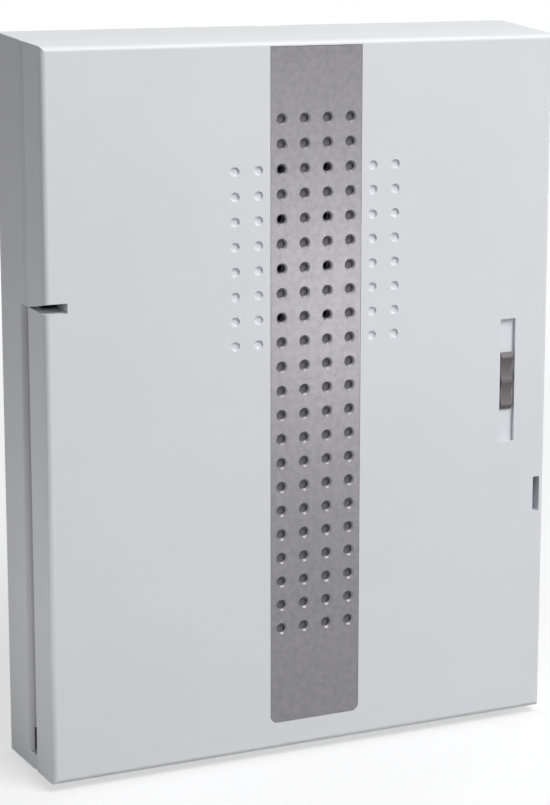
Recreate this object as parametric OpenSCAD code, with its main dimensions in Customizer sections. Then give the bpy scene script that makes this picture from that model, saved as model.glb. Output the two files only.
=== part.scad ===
// Wall-mounted electronic door chime.
// Millimetres, +Z up, +X to the viewer's right. The wall is the plane Y = 0 and the front looks to -Y.
// Front-view outlines are drawn in X and Z, and every depth is a distance from the wall.

/* [Housing] */
// Width of the front face
face_w = 143.5; // [136:0.5:180]
// Height of the front face
face_h = 190.3; // [188:0.1:230]
// Distance from the wall to the front face
depth = 33; // [33:0.5:44]
// How much every side widens from the front face to the wall
flare = 2; // [0.5:0.1:4]
// Thickness of the side walls
wall = 2.4; // [2.2:0.1:3]
// Thickness of the front face
face_t = 2.2; // [1.8:0.1:3]
// Thickness of the back plate on the wall
back_t = 2.2; // [1.8:0.1:3]
// Radius of the front edges
edge_r = 1.5; // [0.8:0.1:2]
// Distance from the wall to the parting line
parting = 20.5; // [18.5:0.5:23.5]
// Open seam between the cover and the base
seam = 0.15; // [0.1:0.05:0.4]
// Thickness of the base's locating lip
lip_t = 1; // [0.8:0.1:1.2]
// Height of the locating lip above the parting line
lip_h = 3; // [2:0.5:4]
// Play between the lip and the cover
lip_gap = 0.2; // [0.1:0.05:0.4]
// Width of the bevel on the base behind the parting line
shoulder_w = 3; // [2:0.5:6]
// Depth of that bevel at the parting line
shoulder_h = 0.25; // [0.1:0.05:0.8]

/* [Release notch and side groove] */
// Height of the notch's upper edge above the middle of the face
notch_z = 31.3; // [20:0.1:45]
// Height of the notch on the front face
notch_h = 2.6; // [1.5:0.1:5]
// Length of the notch into the front face
notch_len = 5.9; // [4:0.1:10]
// Distance from the wall to the rear edge of the groove
groove_d = 15.2; // [12:0.1:15.6]
// Radius at which the groove's rear edge rounds in
groove_r = 1.4; // [1:0.1:2]
// Distance from the lower end of the face to the groove's end
groove_end = 3.4; // [3:0.1:10]
// Length of the pry slot at the groove's lower end
pry_len = 6.5; // [4:0.5:12]
// Width of the pry slot
pry_w = 2.8; // [2:0.1:3.2]
// How far the pry slot runs back for each millimetre inwards
pry_lean = 2; // [1:0.1:2.4]
// Distance from the face's right edge to the middle of the release slot
release_inset = 2.5; // [2.2:0.1:4]
// Height of the middle of the release slot
release_z = -32.6; // [-40:0.1:-29]
// Length of the release slot
release_len = 10; // [6:0.5:14]
// Width of the release slot
release_w = 2; // [1.5:0.1:2.5]
// Thickness of the springy tongue behind the release slot
tongue_t = 1.4; // [1:0.1:1.6]

/* [Perforated strip] */
// Spacing of the holes
hole_pitch = 6.5; // [6:0.1:6.8]
// Diameter of the holes below their countersink
hole_d = 2.2; // [1.8:0.1:2.6]
// Columns of holes in the strip
hole_cols = 4; // [2:2:4]
// Rows of holes in the strip
hole_rows = 22; // [16:1:24]
// Width of the countersink around each hole
hole_bevel = 0.45; // [0.2:0.05:0.6]
// Offset of the hole grid to the right of the face's middle
grid_x = 1.95; // [0:0.05:4]
// Distance from the top of the face to the first row of holes
grid_drop = 20.05; // [18:0.05:23]
// Width of the strip
strip_w = 25.7; // [23:0.1:28]
// Thickness of the strip
strip_t = 2.2; // [1.8:0.1:2.6]
// Thickness that is left under a blind hole
strip_floor = 1.1; // [0.5:0.1:1.3]
// Play around the strip
strip_gap = 0.1; // [0.1:0.05:0.3]
// Distance from the lower end of the face to the strip
strip_drop = 7.5; // [5:0.5:12]
// Radius of the strip's lower corners
strip_r = 2; // [1:0.5:4]
// Thickness of the cover behind the strip
bed_t = 1.6; // [1.2:0.1:2.2]
// How much wider the sound holes are behind the strip, on each side
bed_play = 0.3; // [0.2:0.1:1]
// First row of the loudspeaker field
field_row = 2; // [1:1:4]
// Rows in the loudspeaker field
field_rows = 8; // [6:2:8]
// Columns of dimples on each side of the strip
dimple_cols = 2; // [1:1:2]
// Diameter of a dimple
dimple_d = 2.5; // [2:0.1:3.6]
// Depth of a dimple
dimple_h = 0.6; // [0.3:0.05:1]
// How much a dimple narrows to its floor, on each side
dimple_taper = 0.15; // [0.1:0.05:0.6]
// Height of the ribs inside the cover
cover_rib_h = 1.4; // [0.8:0.1:1.4]

/* [Volume control] */
// Distance from the face's right edge to the middle of the slot
slot_inset = 12.3; // [11.5:0.1:14]
// Height of the middle of the slot above the board's lower end
slot_rise = 25; // [24:0.5:27]
// Length of the slot
slot_len = 34.5; // [30:0.5:36]
// Width of the slot
slot_w = 4.6; // [4:0.1:5]
// Thickness of the cover around the slot
slot_face_t = 0.9; // [0.8:0.1:1.6]
// Length of the finger piece
knob_len = 16; // [12:0.5:16]
// Height of the finger piece above the middle of the slot at rest
knob_lift = -0.25; // [-0.25:0.05:0.25]
// Play of the finger piece in the slot, on each side
knob_gap = 0.55; // [0.3:0.05:0.7]
// Distance of the finger piece below the front face
knob_sink = 0; // [0:0.1:0.4]
// Depth of its two finger dips
knob_dip = 0.7; // [0.4:0.1:0.8]
// Width of the ridge between the dips
knob_ridge = 0.8; // [0.4:0.1:1.2]
// Length of the ramp at both ends of the finger piece
knob_ramp = 1.2; // [0.8:0.1:2]
// Height of the finger piece's ends
knob_end = 0.3; // [0.2:0.1:0.6]
// Travel of the control
travel = 18; // [14:0.5:18]
// Width of the shutter behind the slot
shutter_w = 8; // [7:0.5:9]
// Thickness of the shutter
shutter_t = 1.2; // [1:0.1:1.6]
// Play between the shutter and the cover
shutter_gap = 0.2; // [0.2:0.05:0.4]
// Length of the potentiometer
pot_len = 35; // [32:0.5:38]
// Width of the potentiometer
pot_w = 9; // [8:0.5:10]
// Height of the potentiometer above the board
pot_h = 7; // [6:0.5:8]
// Thickness of the potentiometer's lever
lever_t = 1.2; // [1:0.1:1.6]
// Width of the lever
lever_w = 5; // [4:0.5:6]

/* [Loudspeaker] */
// Outer diameter of the basket
speaker_d = 57; // [54:0.5:58]
// Thickness of the pressed basket
basket_t = 0.8; // [0.6:0.1:1]
// Thickness of the foam gasket
gasket_t = 1.5; // [1:0.1:2]
// Width of the gasket
gasket_w = 2.5; // [2:0.1:3]
// Play between the gasket and the cover
gasket_gap = 0.3; // [0.2:0.05:0.5]
// Diameter of the magnet
magnet_d = 32; // [28:0.5:34]
// Thickness of the magnet
magnet_t = 5; // [4:0.5:6]
// Thickness of the two pole plates
plate_t = 2.5; // [2:0.5:3]
// Outer diameter of the voice coil
coil_d = 12.6; // [12:0.1:14]
// Clearance on each side of the voice coil
coil_gap = 0.4; // [0.3:0.05:0.6]
// Diameter of the dust cap
cap_d = 17; // [16:0.5:19]
// Travel of the cone each way
cone_travel = 0.8; // [0.4:0.1:1]
// Depth of the basket behind its flange
basket_h = 11.4; // [10.5:0.1:12]
// Distance of the speaker screws outside the basket
lug_out = 3; // [2.8:0.1:3.4]
// Radius of the screw lugs and posts
lug_r = 3.8; // [3.5:0.1:4.2]
// Reach of the gussets at the foot of the posts
gusset_len = 6.4; // [5:0.1:7]
// Height of the gussets above the back plate
gusset_h = 9; // [6:0.5:11]

/* [Circuit board] */
// Distance from the wall to the back of the board
board_d = 8; // [7:0.5:9]
// Thickness of the board
board_t = 1.6; // [1:0.1:2]
// Gap between the speaker and the board
board_gap = 5; // [4:0.5:6]
// Gap between the board and the side wall
board_side = 2.4; // [2:0.1:4]
// Gap between the battery bay and the board
board_clear = 6.2; // [5.5:0.1:8]
// Distance from the board's corner to its screws
board_inset = 3.5; // [3:0.1:4]
// Width of one pole of the terminal block
pole_w = 7; // [6:0.1:7.2]
// Poles of the terminal block
poles = 4; // [2:1:4]
// Depth of the terminal block
terminal_w = 10; // [9:0.5:11]
// Height of the terminal block
terminal_h = 11; // [9:0.5:13]
// Gap between the parts along the left column of the board
part_gap = 1.2; // [0.8:0.1:1.6]
// Gap between the parts along the right column of the board
column_gap = 5; // [2:0.5:6]
// Width of the two chips
chip_w = 6.4; // [5.5:0.1:7]
// Height of the chips
chip_h = 3.4; // [3:0.1:4]
// Length of the sound chip
sound_len = 20; // [19.5:0.5:22]
// Length of the amplifier chip
amp_len = 9.8; // [9.4:0.1:12]
// Radius of the bridge rectifier
rectifier_r = 4.4; // [3.8:0.1:4.6]
// Height of the bridge rectifier
rectifier_h = 5.5; // [4:0.5:7]
// Radius of the smoothing capacitor
smooth_r = 5; // [4:0.1:5.5]
// Height of the smoothing capacitor
smooth_h = 16; // [12:0.5:18]
// Radius of the coupling capacitor
couple_r = 3.15; // [2.5:0.05:4]
// Height of the coupling capacitor
couple_h = 11; // [8:0.5:13]
// Spacing of the resistors
resistor_pitch = 4; // [3.2:0.1:4.4]
// Travel of the melody selector
melody_travel = 3.5; // [2:0.5:4]
// Radius of the screw heads
head_r = 2.8; // [2.4:0.1:3]
// Height of the screw heads
head_h = 1.8; // [1.4:0.1:2.2]
// Radius of the screw shanks
shank_r = 1.4; // [1.2:0.05:1.5]
// Length of the screw shanks
shank_len = 7; // [5.5:0.5:7]

/* [Battery bay] */
// Diameter of a cell
cell_d = 26.2; // [25:0.1:26.4]
// Length of a cell with its nub
cell_len = 50; // [46:0.5:51]
// Height of the cell's nub
nub_h = 1.5; // [1:0.1:2]
// Diameter of the cell's nub
nub_d = 5.5; // [4:0.1:7]
// Play under and beside the cells
cell_gap = 0.3; // [0.2:0.05:0.5]
// Spacing of the two rows of cells
row_pitch = 29; // [28.5:0.1:29.5]
// Distance from the bottom of the face to the lower row's middle
row_z = 20.6; // [20:0.1:21]
// Thickness of the contact sheet
contact_t = 0.4; // [0.3:0.05:0.6]
// Width of a contact
contact_w = 16; // [12:0.5:18]
// Height of a contact
contact_h = 18; // [16:0.5:20]
// Height of the bump on a plus contact
bump_h = 1.2; // [0.8:0.1:1.6]
// Bow of the leaf on a minus contact
leaf_h = 3; // [2:0.1:3.5]
// Thickness of ribs and bay walls
rib_t = 1.6; // [1.2:0.1:2]
// Radius of the leads
lead_r = 0.7; // [0.5:0.05:0.8]

/* [Wall fixing] */
// Distance from the sides of the face to the wall screws
fix_side = 9.75; // [9:0.25:12]
// Distance from the top of the face to the upper wall screws
fix_top = 15.15; // [13:0.05:20]
// Distance from the bottom of the face to the lower wall screws
fix_bottom = 35.15; // [30:0.05:40]
// Diameter of the wall screw holes
fix_d = 4.5; // [4:0.1:5]
// Radius of the boss around each hole
fix_boss = 4.5; // [4:0.1:4.8]
// Height of the boss above the back plate
fix_rise = 1.5; // [1:0.1:3]
// Width of the wire entry
entry_w = 30; // [20:0.5:32]
// Height of the wire entry
entry_h = 15; // [10:0.5:16]
// Distance from the middle of the back plate to the middle of the wire entry
entry_x = 2; // [-10:0.5:10]
// Distance from the top of the face to the middle of the wire entry
entry_drop = 13; // [12.5:0.1:13.5]
// Width of the wire channel in the back
channel_w = 8; // [5:0.5:10]
// Depth of the wire channel
channel_h = 1.2; // [0.6:0.1:1.4]

/* [Hidden] */
$fn = 64;
eps = 0.01;

// Housing
flare_a = atan(flare / depth);
skin_t = wall - lip_t;
rebate_t = skin_t - lip_gap;
top_z = face_h / 2;
bottom_z = -face_h / 2;
left_x = -face_w / 2;
right_x = face_w / 2;
far = face_w + face_h;
groove_z = bottom_z + groove_end;
groove_top = notch_z - notch_h;
release_x = right_x - release_inset;
tongue_gap = 0.45;
nose_t = 0.25;
nose_h = 2;
nose_drop = 1;
tongue_x1 = half_at(right_x, depth - face_t, wall) - tongue_gap;
tongue_d1 = depth - face_t - 1.3;
nose_d1 = tongue_d1 - nose_drop;

// Strip and hole grid
strip_top = top_z - edge_r;
strip_bottom = bottom_z + strip_drop;
bed_d = depth - strip_t - bed_t;
hole_r = hole_d / 2;
field_last = field_row + field_rows - 1;
dimple_r = dimple_d / 2;
cover_rib_x = [0.7 * left_x, 0.47 * left_x, 0.58 * right_x];
cover_rib_t = 1.2;

// Battery bay
cell_r = cell_d / 2;
cell_mid = back_t + cell_gap + cell_r;
low_row = bottom_z + row_z;
high_row = low_row + row_pitch;
row_half = (2 * cell_len + bump_h + leaf_h) / 2;
bay_x = row_half + contact_t;
bay_top = high_row + cell_r + cell_gap;
bay_wall_d = cell_mid - 1.5;
end_wall_d = cell_mid + 7;
saddle_d = cell_mid - 5;
contact_d0 = cell_mid - contact_h / 2;
tag_w = 4;
tag_z = bay_top + 4.5;
lead_d = back_t + lead_r + 0.3;
saddle_x = [for (i = [-1.5:1:1.5]) i * cell_len / 2];

// Loudspeaker
speaker_x = grid_x;
speaker_z = row_height(field_row + (field_rows - 1) / 2);
speaker_r = speaker_d / 2;
gasket_d0 = bed_d - gasket_gap - gasket_t;
flange_d0 = gasket_d0 - basket_t;
basket_r = speaker_r - gasket_w;
surround_r = basket_r - 0.3;
surround_t = 0.4;
roll_r = 1.15;
landing_w = 1.1;
cone_r = surround_r - landing_w - 4 * roll_r - 0.3;
flange_in = surround_r - landing_w;
plate_r = magnet_d / 2;
seat_r = plate_r - basket_t;
spider_rise = 1.8;
basket_back = flange_d0 - basket_h;
spider_d = basket_back + spider_rise;
steel_r = plate_r - 0.6;
coil_r = coil_d / 2;
former_t = 0.35;
pole_r = coil_r - former_t - coil_gap;
top_plate_d0 = basket_back - plate_t;
magnet_d0 = top_plate_d0 - magnet_t;
yoke_d0 = magnet_d0 - plate_t;
neck_d = spider_d + 1;
cap_r = cap_d / 2;
cone_t = 0.6;
lug_circle = speaker_r + lug_out;
lugs = [for (a = [45:90:315]) [speaker_x + lug_circle * cos(a), speaker_z + lug_circle * sin(a)]];
tag_off = 2.6;
tag_t = 0.4;
pilot_r = shank_r + 0.05;
shank_play = 0.2;

// Place of the circuit board
board_top = board_d + board_t;
board_x0 = speaker_x + speaker_r + board_gap;
board_x1 = half_at(right_x, board_top, wall) - board_side;
board_z0 = bay_top + rib_t + board_clear;

// Volume control
slot_x = right_x - slot_inset;
slot_z = board_z0 + slot_rise;
shutter_d1 = depth - slot_face_t - shutter_gap;
shutter_d0 = shutter_d1 - shutter_t;
shutter_len = slot_len + travel + 1.5;
pocket_len = shutter_len + travel + 1;
knob_z = slot_z + knob_lift;
knob_w = slot_w - 2 * knob_gap;
knob_d1 = depth - knob_sink;
hub_wall = 2;
hub_h = 5;
lever_play = 0.3;
pot_slot = travel + lever_w + 2;
lever_d0 = board_top + 2.5;
lever_d1 = shutter_d0 - 1.5;

// Left column of the board, from its lower end: resistors, chips, resistors, capacitor, rectifier
chip_x = board_x0 + 7;
low_resistors = 3;
high_resistors = 2;
stack_z0 = board_z0 + 2 * board_inset;
sound_z = stack_z0 + low_resistors * resistor_pitch + part_gap + sound_len / 2;
amp_z = sound_z + sound_len / 2 + high_resistors * resistor_pitch + 2 * part_gap + amp_len / 2;
couple_z = amp_z + amp_len / 2 + part_gap + couple_r;
rectifier_z = couple_z + couple_r + part_gap + rectifier_r;
resistor_places = concat(
    [for (i = [0:low_resistors - 1]) stack_z0 + (i + 0.5) * resistor_pitch],
    [for (i = [0:high_resistors - 1]) sound_z + sound_len / 2 + part_gap + (i + 0.5) * resistor_pitch]
);

// Right column of the board above the potentiometer: melody switch, capacitor
melody_size = [6, 13, 5.5];
melody_stub = [2.4, 2.6];
melody_z = slot_z + pot_len / 2 + column_gap + melody_size[1] / 2;
melody_d0 = board_top + 2.5;
smooth_z = melody_z + melody_size[1] / 2 + column_gap + smooth_r;

// Terminal block above both columns
terminal_len = poles * pole_w;
terminal_x0 = (board_x0 + board_x1 - terminal_len) / 2;
terminal_z0 = max(rectifier_z + rectifier_r, smooth_z + smooth_r) + part_gap;
terminal_d1 = board_top + terminal_h;
pole_places = [for (i = [0:poles - 1]) terminal_x0 + (i + 0.5) * pole_w];
pole_z = terminal_z0 + terminal_w / 2 + 0.8;
well_r = 2.2;
well_h = 4;
well_sink = 1.2;
wire_hole = 4;
wire_reach = 3;
board_z1 = terminal_z0 + terminal_w + 2 * board_inset + 0.2;
board_holes = [
    for (x = [board_x0 + board_inset, board_x1 - board_inset])
        for (z = [board_z0 + board_inset, board_z1 - board_inset]) [x, z]
];

// Legs of the chips
pin_t = 0.35;
pin_w = 0.6;
pin_pitch = 2.54;

// Wall fixing
fix_points = [
    for (x = [left_x + fix_side, right_x - fix_side])
        for (z = [bottom_z + fix_bottom, top_z - fix_top]) [x, z]
];
collar_h = 2;
entry_z = top_z - entry_drop;

// Half width or height of the housing at a distance d from the wall, inset by a wall thickness
function half_at(front_half, d, inset) = front_half + flare * (depth - d) / depth - inset / cos(flare_a);

// Height of a row of holes, counted from the top
function row_height(row) = top_z - grid_drop - row * hole_pitch;

// Place of a column of holes, counted from the strip's left column
function col_place(col) = grid_x + (col - (hole_cols - 1) / 2) * hole_pitch;

// Sound holes go through on every second row and column of the loudspeaker field
function is_sound(row, col) =
    row >= field_row && row <= field_last && (row - field_row) % 2 == 0 && col % 2 == 0;

// Route of a lead as a smooth curve through its points
function lead_curve(p, steps) = [
    for (i = [0:len(p) - 2])
        for (s = [0:steps - 1])
            let (a = p[max(i - 1, 0)], b = p[i], c = p[i + 1], e = p[min(i + 2, len(p) - 1)], t = s / steps)
            0.5 * (2 * b + (c - a) * t + (2 * a - 5 * b + 4 * c - e) * t * t
                + (3 * b - a - 3 * c + e) * t * t * t),
    p[len(p) - 1]
];

function unit(v) = v / norm(v);

// Direction of a curve at each of its points, square to what its two ends meet
function headings(p, route) = [
    for (i = [0:len(p) - 1])
        i == 0 ? unit(route[1] - route[0])
        : i == len(p) - 1 ? unit(route[len(route) - 1] - route[len(route) - 2])
        : unit(p[i + 1] - p[i - 1])
];

// Side direction that is carried along the curve without twisting
function carried(h, i) =
    i == 0 ? unit(cross(h[0], [0.3, 0.5, 0.8]))
    : let (n = carried(h, i - 1)) unit(n - (n * h[i]) * h[i]);

// Extrudes a front-view outline between two distances from the wall
module slab(d0, d1) {
    translate([0, -d0, 0]) rotate([90, 0, 0]) linear_extrude(d1 - d0) children();
}

// Block between two corners in the front view
module block(x0, x1, z0, z1, d0, d1) {
    translate([x0, -d1, z0]) cube([x1 - x0, d1 - d0, z1 - z0]);
}

// Block centred on a point of the front view
module brick(x, z, w, h, d0, d1) {
    block(x - w / 2, x + w / 2, z - h / 2, z + h / 2, d0, d1);
}

// Round peg that stands out from the wall
module peg(x, z, r, d0, d1) {
    translate([x, -d0, z]) rotate([90, 0, 0]) cylinder(r = r, h = d1 - d0);
}

// Turned shape from a profile of radius and distance from the wall
module turned(x, z) {
    translate([x, 0, z]) rotate([90, 0, 0]) rotate_extrude() children();
}

// Outline of a rectangle with rounded lower corners
module strip_outline(grow) {
    x0 = grid_x - strip_w / 2 - grow;
    z0 = strip_bottom - grow;
    r = strip_r + grow;
    translate([x0, z0 + r]) square([strip_w + 2 * grow, strip_top + grow - z0 - r]);
    translate([x0 + r, z0]) square([strip_w + 2 * grow - 2 * r, r + eps]);
    for (x = [x0 + r, x0 + strip_w + 2 * grow - r]) translate([x, z0 + r]) circle(r);
}

// Tapered section of the housing, with round front edges
module taper_section(front_half, inset, d1, r) {
    rear = half_at(front_half, 0, inset);
    mid = half_at(front_half, d1 - r, inset) - r / cos(flare_a);
    side = mid + r * cos(flare_a);
    side_d = d1 - r + r * sin(flare_a);
    polygon([[-rear, 0], [rear, 0], [side, side_d], [mid, d1], [-mid, d1], [-side, side_d]]);
    for (x = [-mid, mid]) translate([x, d1 - r]) circle(r);
}

// Flared box of the housing, inset by a thickness and closed at a distance from the wall
module flared(inset, d1, r) {
    intersection() {
        linear_extrude(far, center = true)
            mirror([0, 1, 0]) taper_section(face_w / 2, inset, d1, r);
        rotate([90, 0, 90]) linear_extrude(far, center = true)
            rotate([0, 0, 90]) taper_section(face_h / 2, inset, d1, r);
    }
}

// Keeps what lies between two distances from the wall
module between(d0, d1) {
    intersection() {
        children();
        block(-far, far, -far, far, d0, d1);
    }
}

// Cross-recessed pan-head screw whose head rests at distance d from the wall
module pan_screw(x, z, d) {
    round_r = 0.4;
    cross_len = 2.6;
    cross_w = 0.7;
    cross_h = 0.9;
    difference() {
        turned(x, z) {
            translate([0, d]) square([head_r - round_r, head_h]);
            translate([0, d]) square([head_r, head_h - round_r]);
            translate([head_r - round_r, d + head_h - round_r]) circle(round_r);
            translate([0, d - shank_len]) square([shank_r, shank_len + eps]);
        }
        for (size = [[cross_len, cross_w], [cross_w, cross_len]])
            brick(x, z, size[0], size[1], d + head_h - cross_h, d + head_h + 1);
    }
}

// Insulated lead swept along a route
module lead(route, steps) {
    p = lead_curve(route, steps);
    h = headings(p, route);
    n = len(p);
    sides = 8;
    points = [
        for (i = [0:n - 1])
            let (u = carried(h, i), v = cross(h[i], u))
            for (k = [0:sides - 1]) p[i] + lead_r * (u * cos(360 * k / sides) + v * sin(360 * k / sides))
    ];
    walls = [
        for (i = [0:n - 2])
            for (k = [0:sides - 1])
                let (a = i * sides + k, b = i * sides + (k + 1) % sides)
                each [[a, a + sides, b], [b, a + sides, b + sides]]
    ];
    last = (n - 1) * sides;
    ends = [for (k = [1:sides - 2]) each [[0, k, k + 1], [last, last + k + 1, last + k]]];
    polyhedron(points, concat(walls, ends));
}

// Dual in-line chip with its bent legs standing on the board
module dip_chip(z, len, per_side) {
    body_d0 = board_top + 0.6;
    body_d1 = body_d0 + chip_h;
    leg_d = (body_d0 + body_d1) / 2;
    leg_out = 0.9;
    key_r = 1;
    difference() {
        brick(chip_x, z, chip_w, len, body_d0, body_d1);
        peg(chip_x, z + len / 2, key_r, body_d1 - key_r / 2, body_d1 + 1);
    }
    for (i = [0:per_side - 1])
        for (side = [-1, 1]) {
            leg_z = z + (i - (per_side - 1) / 2) * pin_pitch;
            leg_x = chip_x + side * (chip_w / 2 + leg_out);
            brick(leg_x - side * leg_out / 2, leg_z, leg_out + eps, pin_w,
                leg_d - pin_t / 2, leg_d + pin_t / 2);
            brick(leg_x, leg_z, pin_t, pin_w, board_top, leg_d + pin_t / 2);
        }
}

// Upright electrolytic capacitor with a crimp ring
module can(x, z, r, h) {
    crimp_d = 2;
    crimp_r = 0.5;
    rim_w = 0.9;
    rim_h = 0.3;
    turned(x, z) difference() {
        translate([0, board_top]) square([r, h]);
        translate([r, board_top + crimp_d]) circle(crimp_r);
        translate([0, board_top + h - rim_h]) square([r - rim_w, 1]);
    }
}

// Axial resistor across the board
module resistor(x, z) {
    body_len = 6.3;
    body_r = 1.15;
    waist_r = 0.95;
    cap_len = 1.6;
    wire_r = 0.25;
    leg_r = 0.32;
    span = 7.8;
    lift = 0.2;
    mid = board_top + body_r + lift;
    translate([x, -mid, z]) rotate([0, 90, 0]) rotate_extrude() {
        translate([0, -span / 2]) square([wire_r, span]);
        translate([0, -body_len / 2]) square([waist_r, body_len]);
        for (end = [-1, 1])
            translate([0, end * (body_len - cap_len) / 2 - cap_len / 2]) square([body_r, cap_len]);
    }
    for (end = [-1, 1]) peg(x + end * span / 2, z, leg_r, board_top, mid + leg_r);
}

// One cell along X: the nub points to the left when side is -1
module cell(x, z, side) {
    translate([x, -cell_mid, z]) rotate([0, 90 * side, 0]) rotate_extrude() {
        difference() {
            translate([0, -cell_len / 2]) square([cell_r, cell_len - nub_h]);
            translate([0, -cell_len / 2 - eps]) square([cell_r - 4, 0.4 + eps]);
            translate([cell_r - 2.5, cell_len / 2 - nub_h - 0.5]) square([1, 1]);
        }
        translate([0, cell_len / 2 - nub_h - eps]) square([nub_d / 2, nub_h + eps]);
    }
}

// Sheet of a battery contact on one end wall: side is -1 on the left and 1 on the right
module contact_sheet(side, z0, z1) {
    inner = side * row_half;
    outer = side * bay_x;
    block(min(inner, outer), max(inner, outer), z0, z1, contact_d0, contact_d0 + contact_h);
}

// Bump that meets the nub of a cell
module contact_bump(side, z) {
    translate([side * row_half, -cell_mid, z]) rotate([0, -90 * side, 0]) rotate_extrude() {
        translate([0, -eps]) square([2.6, bump_h + eps]);
        translate([0, -eps]) square([3.4, bump_h / 2 + eps]);
    }
}

// Bowed leaf that presses on the flat end of a cell
module contact_leaf(side, z) {
    half = contact_h / 2 - 1;
    bow_r = (half * half + leaf_h * leaf_h) / (2 * leaf_h);
    translate([side * row_half, -cell_mid, z]) mirror([side > 0 ? 1 : 0, 0, 0])
        linear_extrude(contact_w / 2, center = true) intersection() {
            difference() {
                translate([leaf_h - bow_r, 0]) circle(bow_r);
                translate([leaf_h - bow_r, 0]) circle(bow_r - contact_t);
            }
            translate([-eps, -half]) square([leaf_h + 1, 2 * half]);
        }
}

// Section of the base's outside, with a bevel behind the parting line
module base_section(front_half) {
    rear = half_at(front_half, 0, 0);
    bend = half_at(front_half, parting - shoulder_w, 0);
    edge = half_at(front_half, parting, shoulder_h);
    polygon([[-rear, 0], [rear, 0], [bend, parting - shoulder_w], [edge, parting],
        [-edge, parting], [-bend, parting - shoulder_w]]);
}

module base_outside() {
    intersection() {
        linear_extrude(far, center = true) mirror([0, 1, 0]) base_section(face_w / 2);
        rotate([90, 0, 90]) linear_extrude(far, center = true)
            rotate([0, 0, 90]) base_section(face_h / 2);
    }
}

module base_shell() {
    difference() {
        union() {
            base_outside();
            between(parting - eps, parting + lip_h) flared(skin_t, depth, edge_r);
        }
        between(back_t, depth) flared(wall, depth, edge_r);
        side_groove();
        pry_slot();
    }
}

// Groove along the lower left side, whose rear edge rounds in to the lip
module side_groove() {
    rim = -half_at(right_x, groove_d, 0);
    translate([0, 0, groove_z]) linear_extrude(groove_top - groove_z) difference() {
        polygon([[rim - flare, -groove_d], [-half_at(right_x, groove_d, skin_t), -groove_d],
            [-half_at(right_x, parting, skin_t), -parting - eps], [rim - flare, -parting - eps]]);
        translate([rim + groove_r, -groove_d]) circle(groove_r);
    }
}

// Slot at the groove's lower end for a blade that lifts the cover
module pry_slot() {
    mouth = -half_at(right_x, parting, 0);
    reach = wall + 1;
    start = mouth - 1;
    translate([0, 0, groove_z]) linear_extrude(pry_len)
        polygon([[start, -parting - pry_lean], [mouth + reach, -parting + pry_lean * reach],
            [mouth + reach, -parting + pry_w + pry_lean * reach], [start, -parting + pry_w - pry_lean]]);
}

module bay_ribs() {
    // Saddles under the cells
    difference() {
        for (x = saddle_x)
            block(x - rib_t / 2, x + rib_t / 2, low_row - cell_r, bay_top, back_t - eps, saddle_d);
        for (z = [low_row, high_row])
            translate([0, -cell_mid, z]) rotate([0, 90, 0])
                cylinder(r = cell_r + cell_gap, h = far, center = true);
    }
    // End walls behind the contacts, with a slot for the black lead
    difference() {
        for (side = [-1, 1])
            block(min(side * bay_x, side * (bay_x + rib_t)), max(side * bay_x, side * (bay_x + rib_t)),
                low_row - cell_r, bay_top, back_t - eps, end_wall_d);
        block(-bay_x - rib_t - 1, -bay_x + 1, low_row - 3, low_row + 4, cell_mid - 4, end_wall_d + 1);
    }
    // Upper wall of the bay, open at the left for the plus tag
    block(-bay_x + 4.5, bay_x + rib_t, bay_top, bay_top + rib_t, back_t - eps, bay_wall_d);
}

// Two crossed gussets at the foot of a speaker post
module gussets(p) {
    foot = -back_t + eps;
    peak = gusset_h * gusset_len / (gusset_len - lug_r);
    for (turn = [0, 90])
        translate([p[0], 0, p[1]]) rotate([0, turn, 0]) linear_extrude(rib_t, center = true)
            polygon([[-gusset_len, foot], [gusset_len, foot], [0, foot - peak]]);
}

module base_tray() {
    color("gainsboro") difference() {
        union() {
            base_shell();
            bay_ribs();
            for (p = lugs) {
                peg(p[0], p[1], lug_r, back_t - eps, flange_d0);
                gussets(p);
            }
            for (p = board_holes) peg(p[0], p[1], board_inset - 0.5, back_t - eps, board_d);
            for (p = fix_points) peg(p[0], p[1], fix_boss, back_t - eps, back_t + fix_rise);
            // Springy tongue behind the release slot, with its nose
            brick(tongue_x1 - tongue_t / 2, release_z, tongue_t, release_len, back_t - eps, tongue_d1);
            brick(tongue_x1, release_z, 2 * nose_t, release_len, nose_d1 - nose_h, nose_d1);
            // Collar around the wire entry
            brick(entry_x, entry_z, entry_w + 2 * rib_t, entry_h + 2 * rib_t,
                back_t - eps, back_t + collar_h);
        }
        for (p = lugs) peg(p[0], p[1], pilot_r, flange_d0 - shank_len, flange_d0 + 1);
        for (p = board_holes) peg(p[0], p[1], pilot_r, back_t + 0.4, board_d + 1);
        for (p = fix_points) peg(p[0], p[1], fix_d / 2, -1, back_t + fix_rise + 1);
        brick(entry_x, entry_z, entry_w, entry_h, -1, back_t + collar_h + 1);
        // Channel for surface wiring, from the wire entry to the top edge
        block(entry_x - channel_w / 2, entry_x + channel_w / 2, entry_z, far, -1, channel_h);
    }
}

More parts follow.
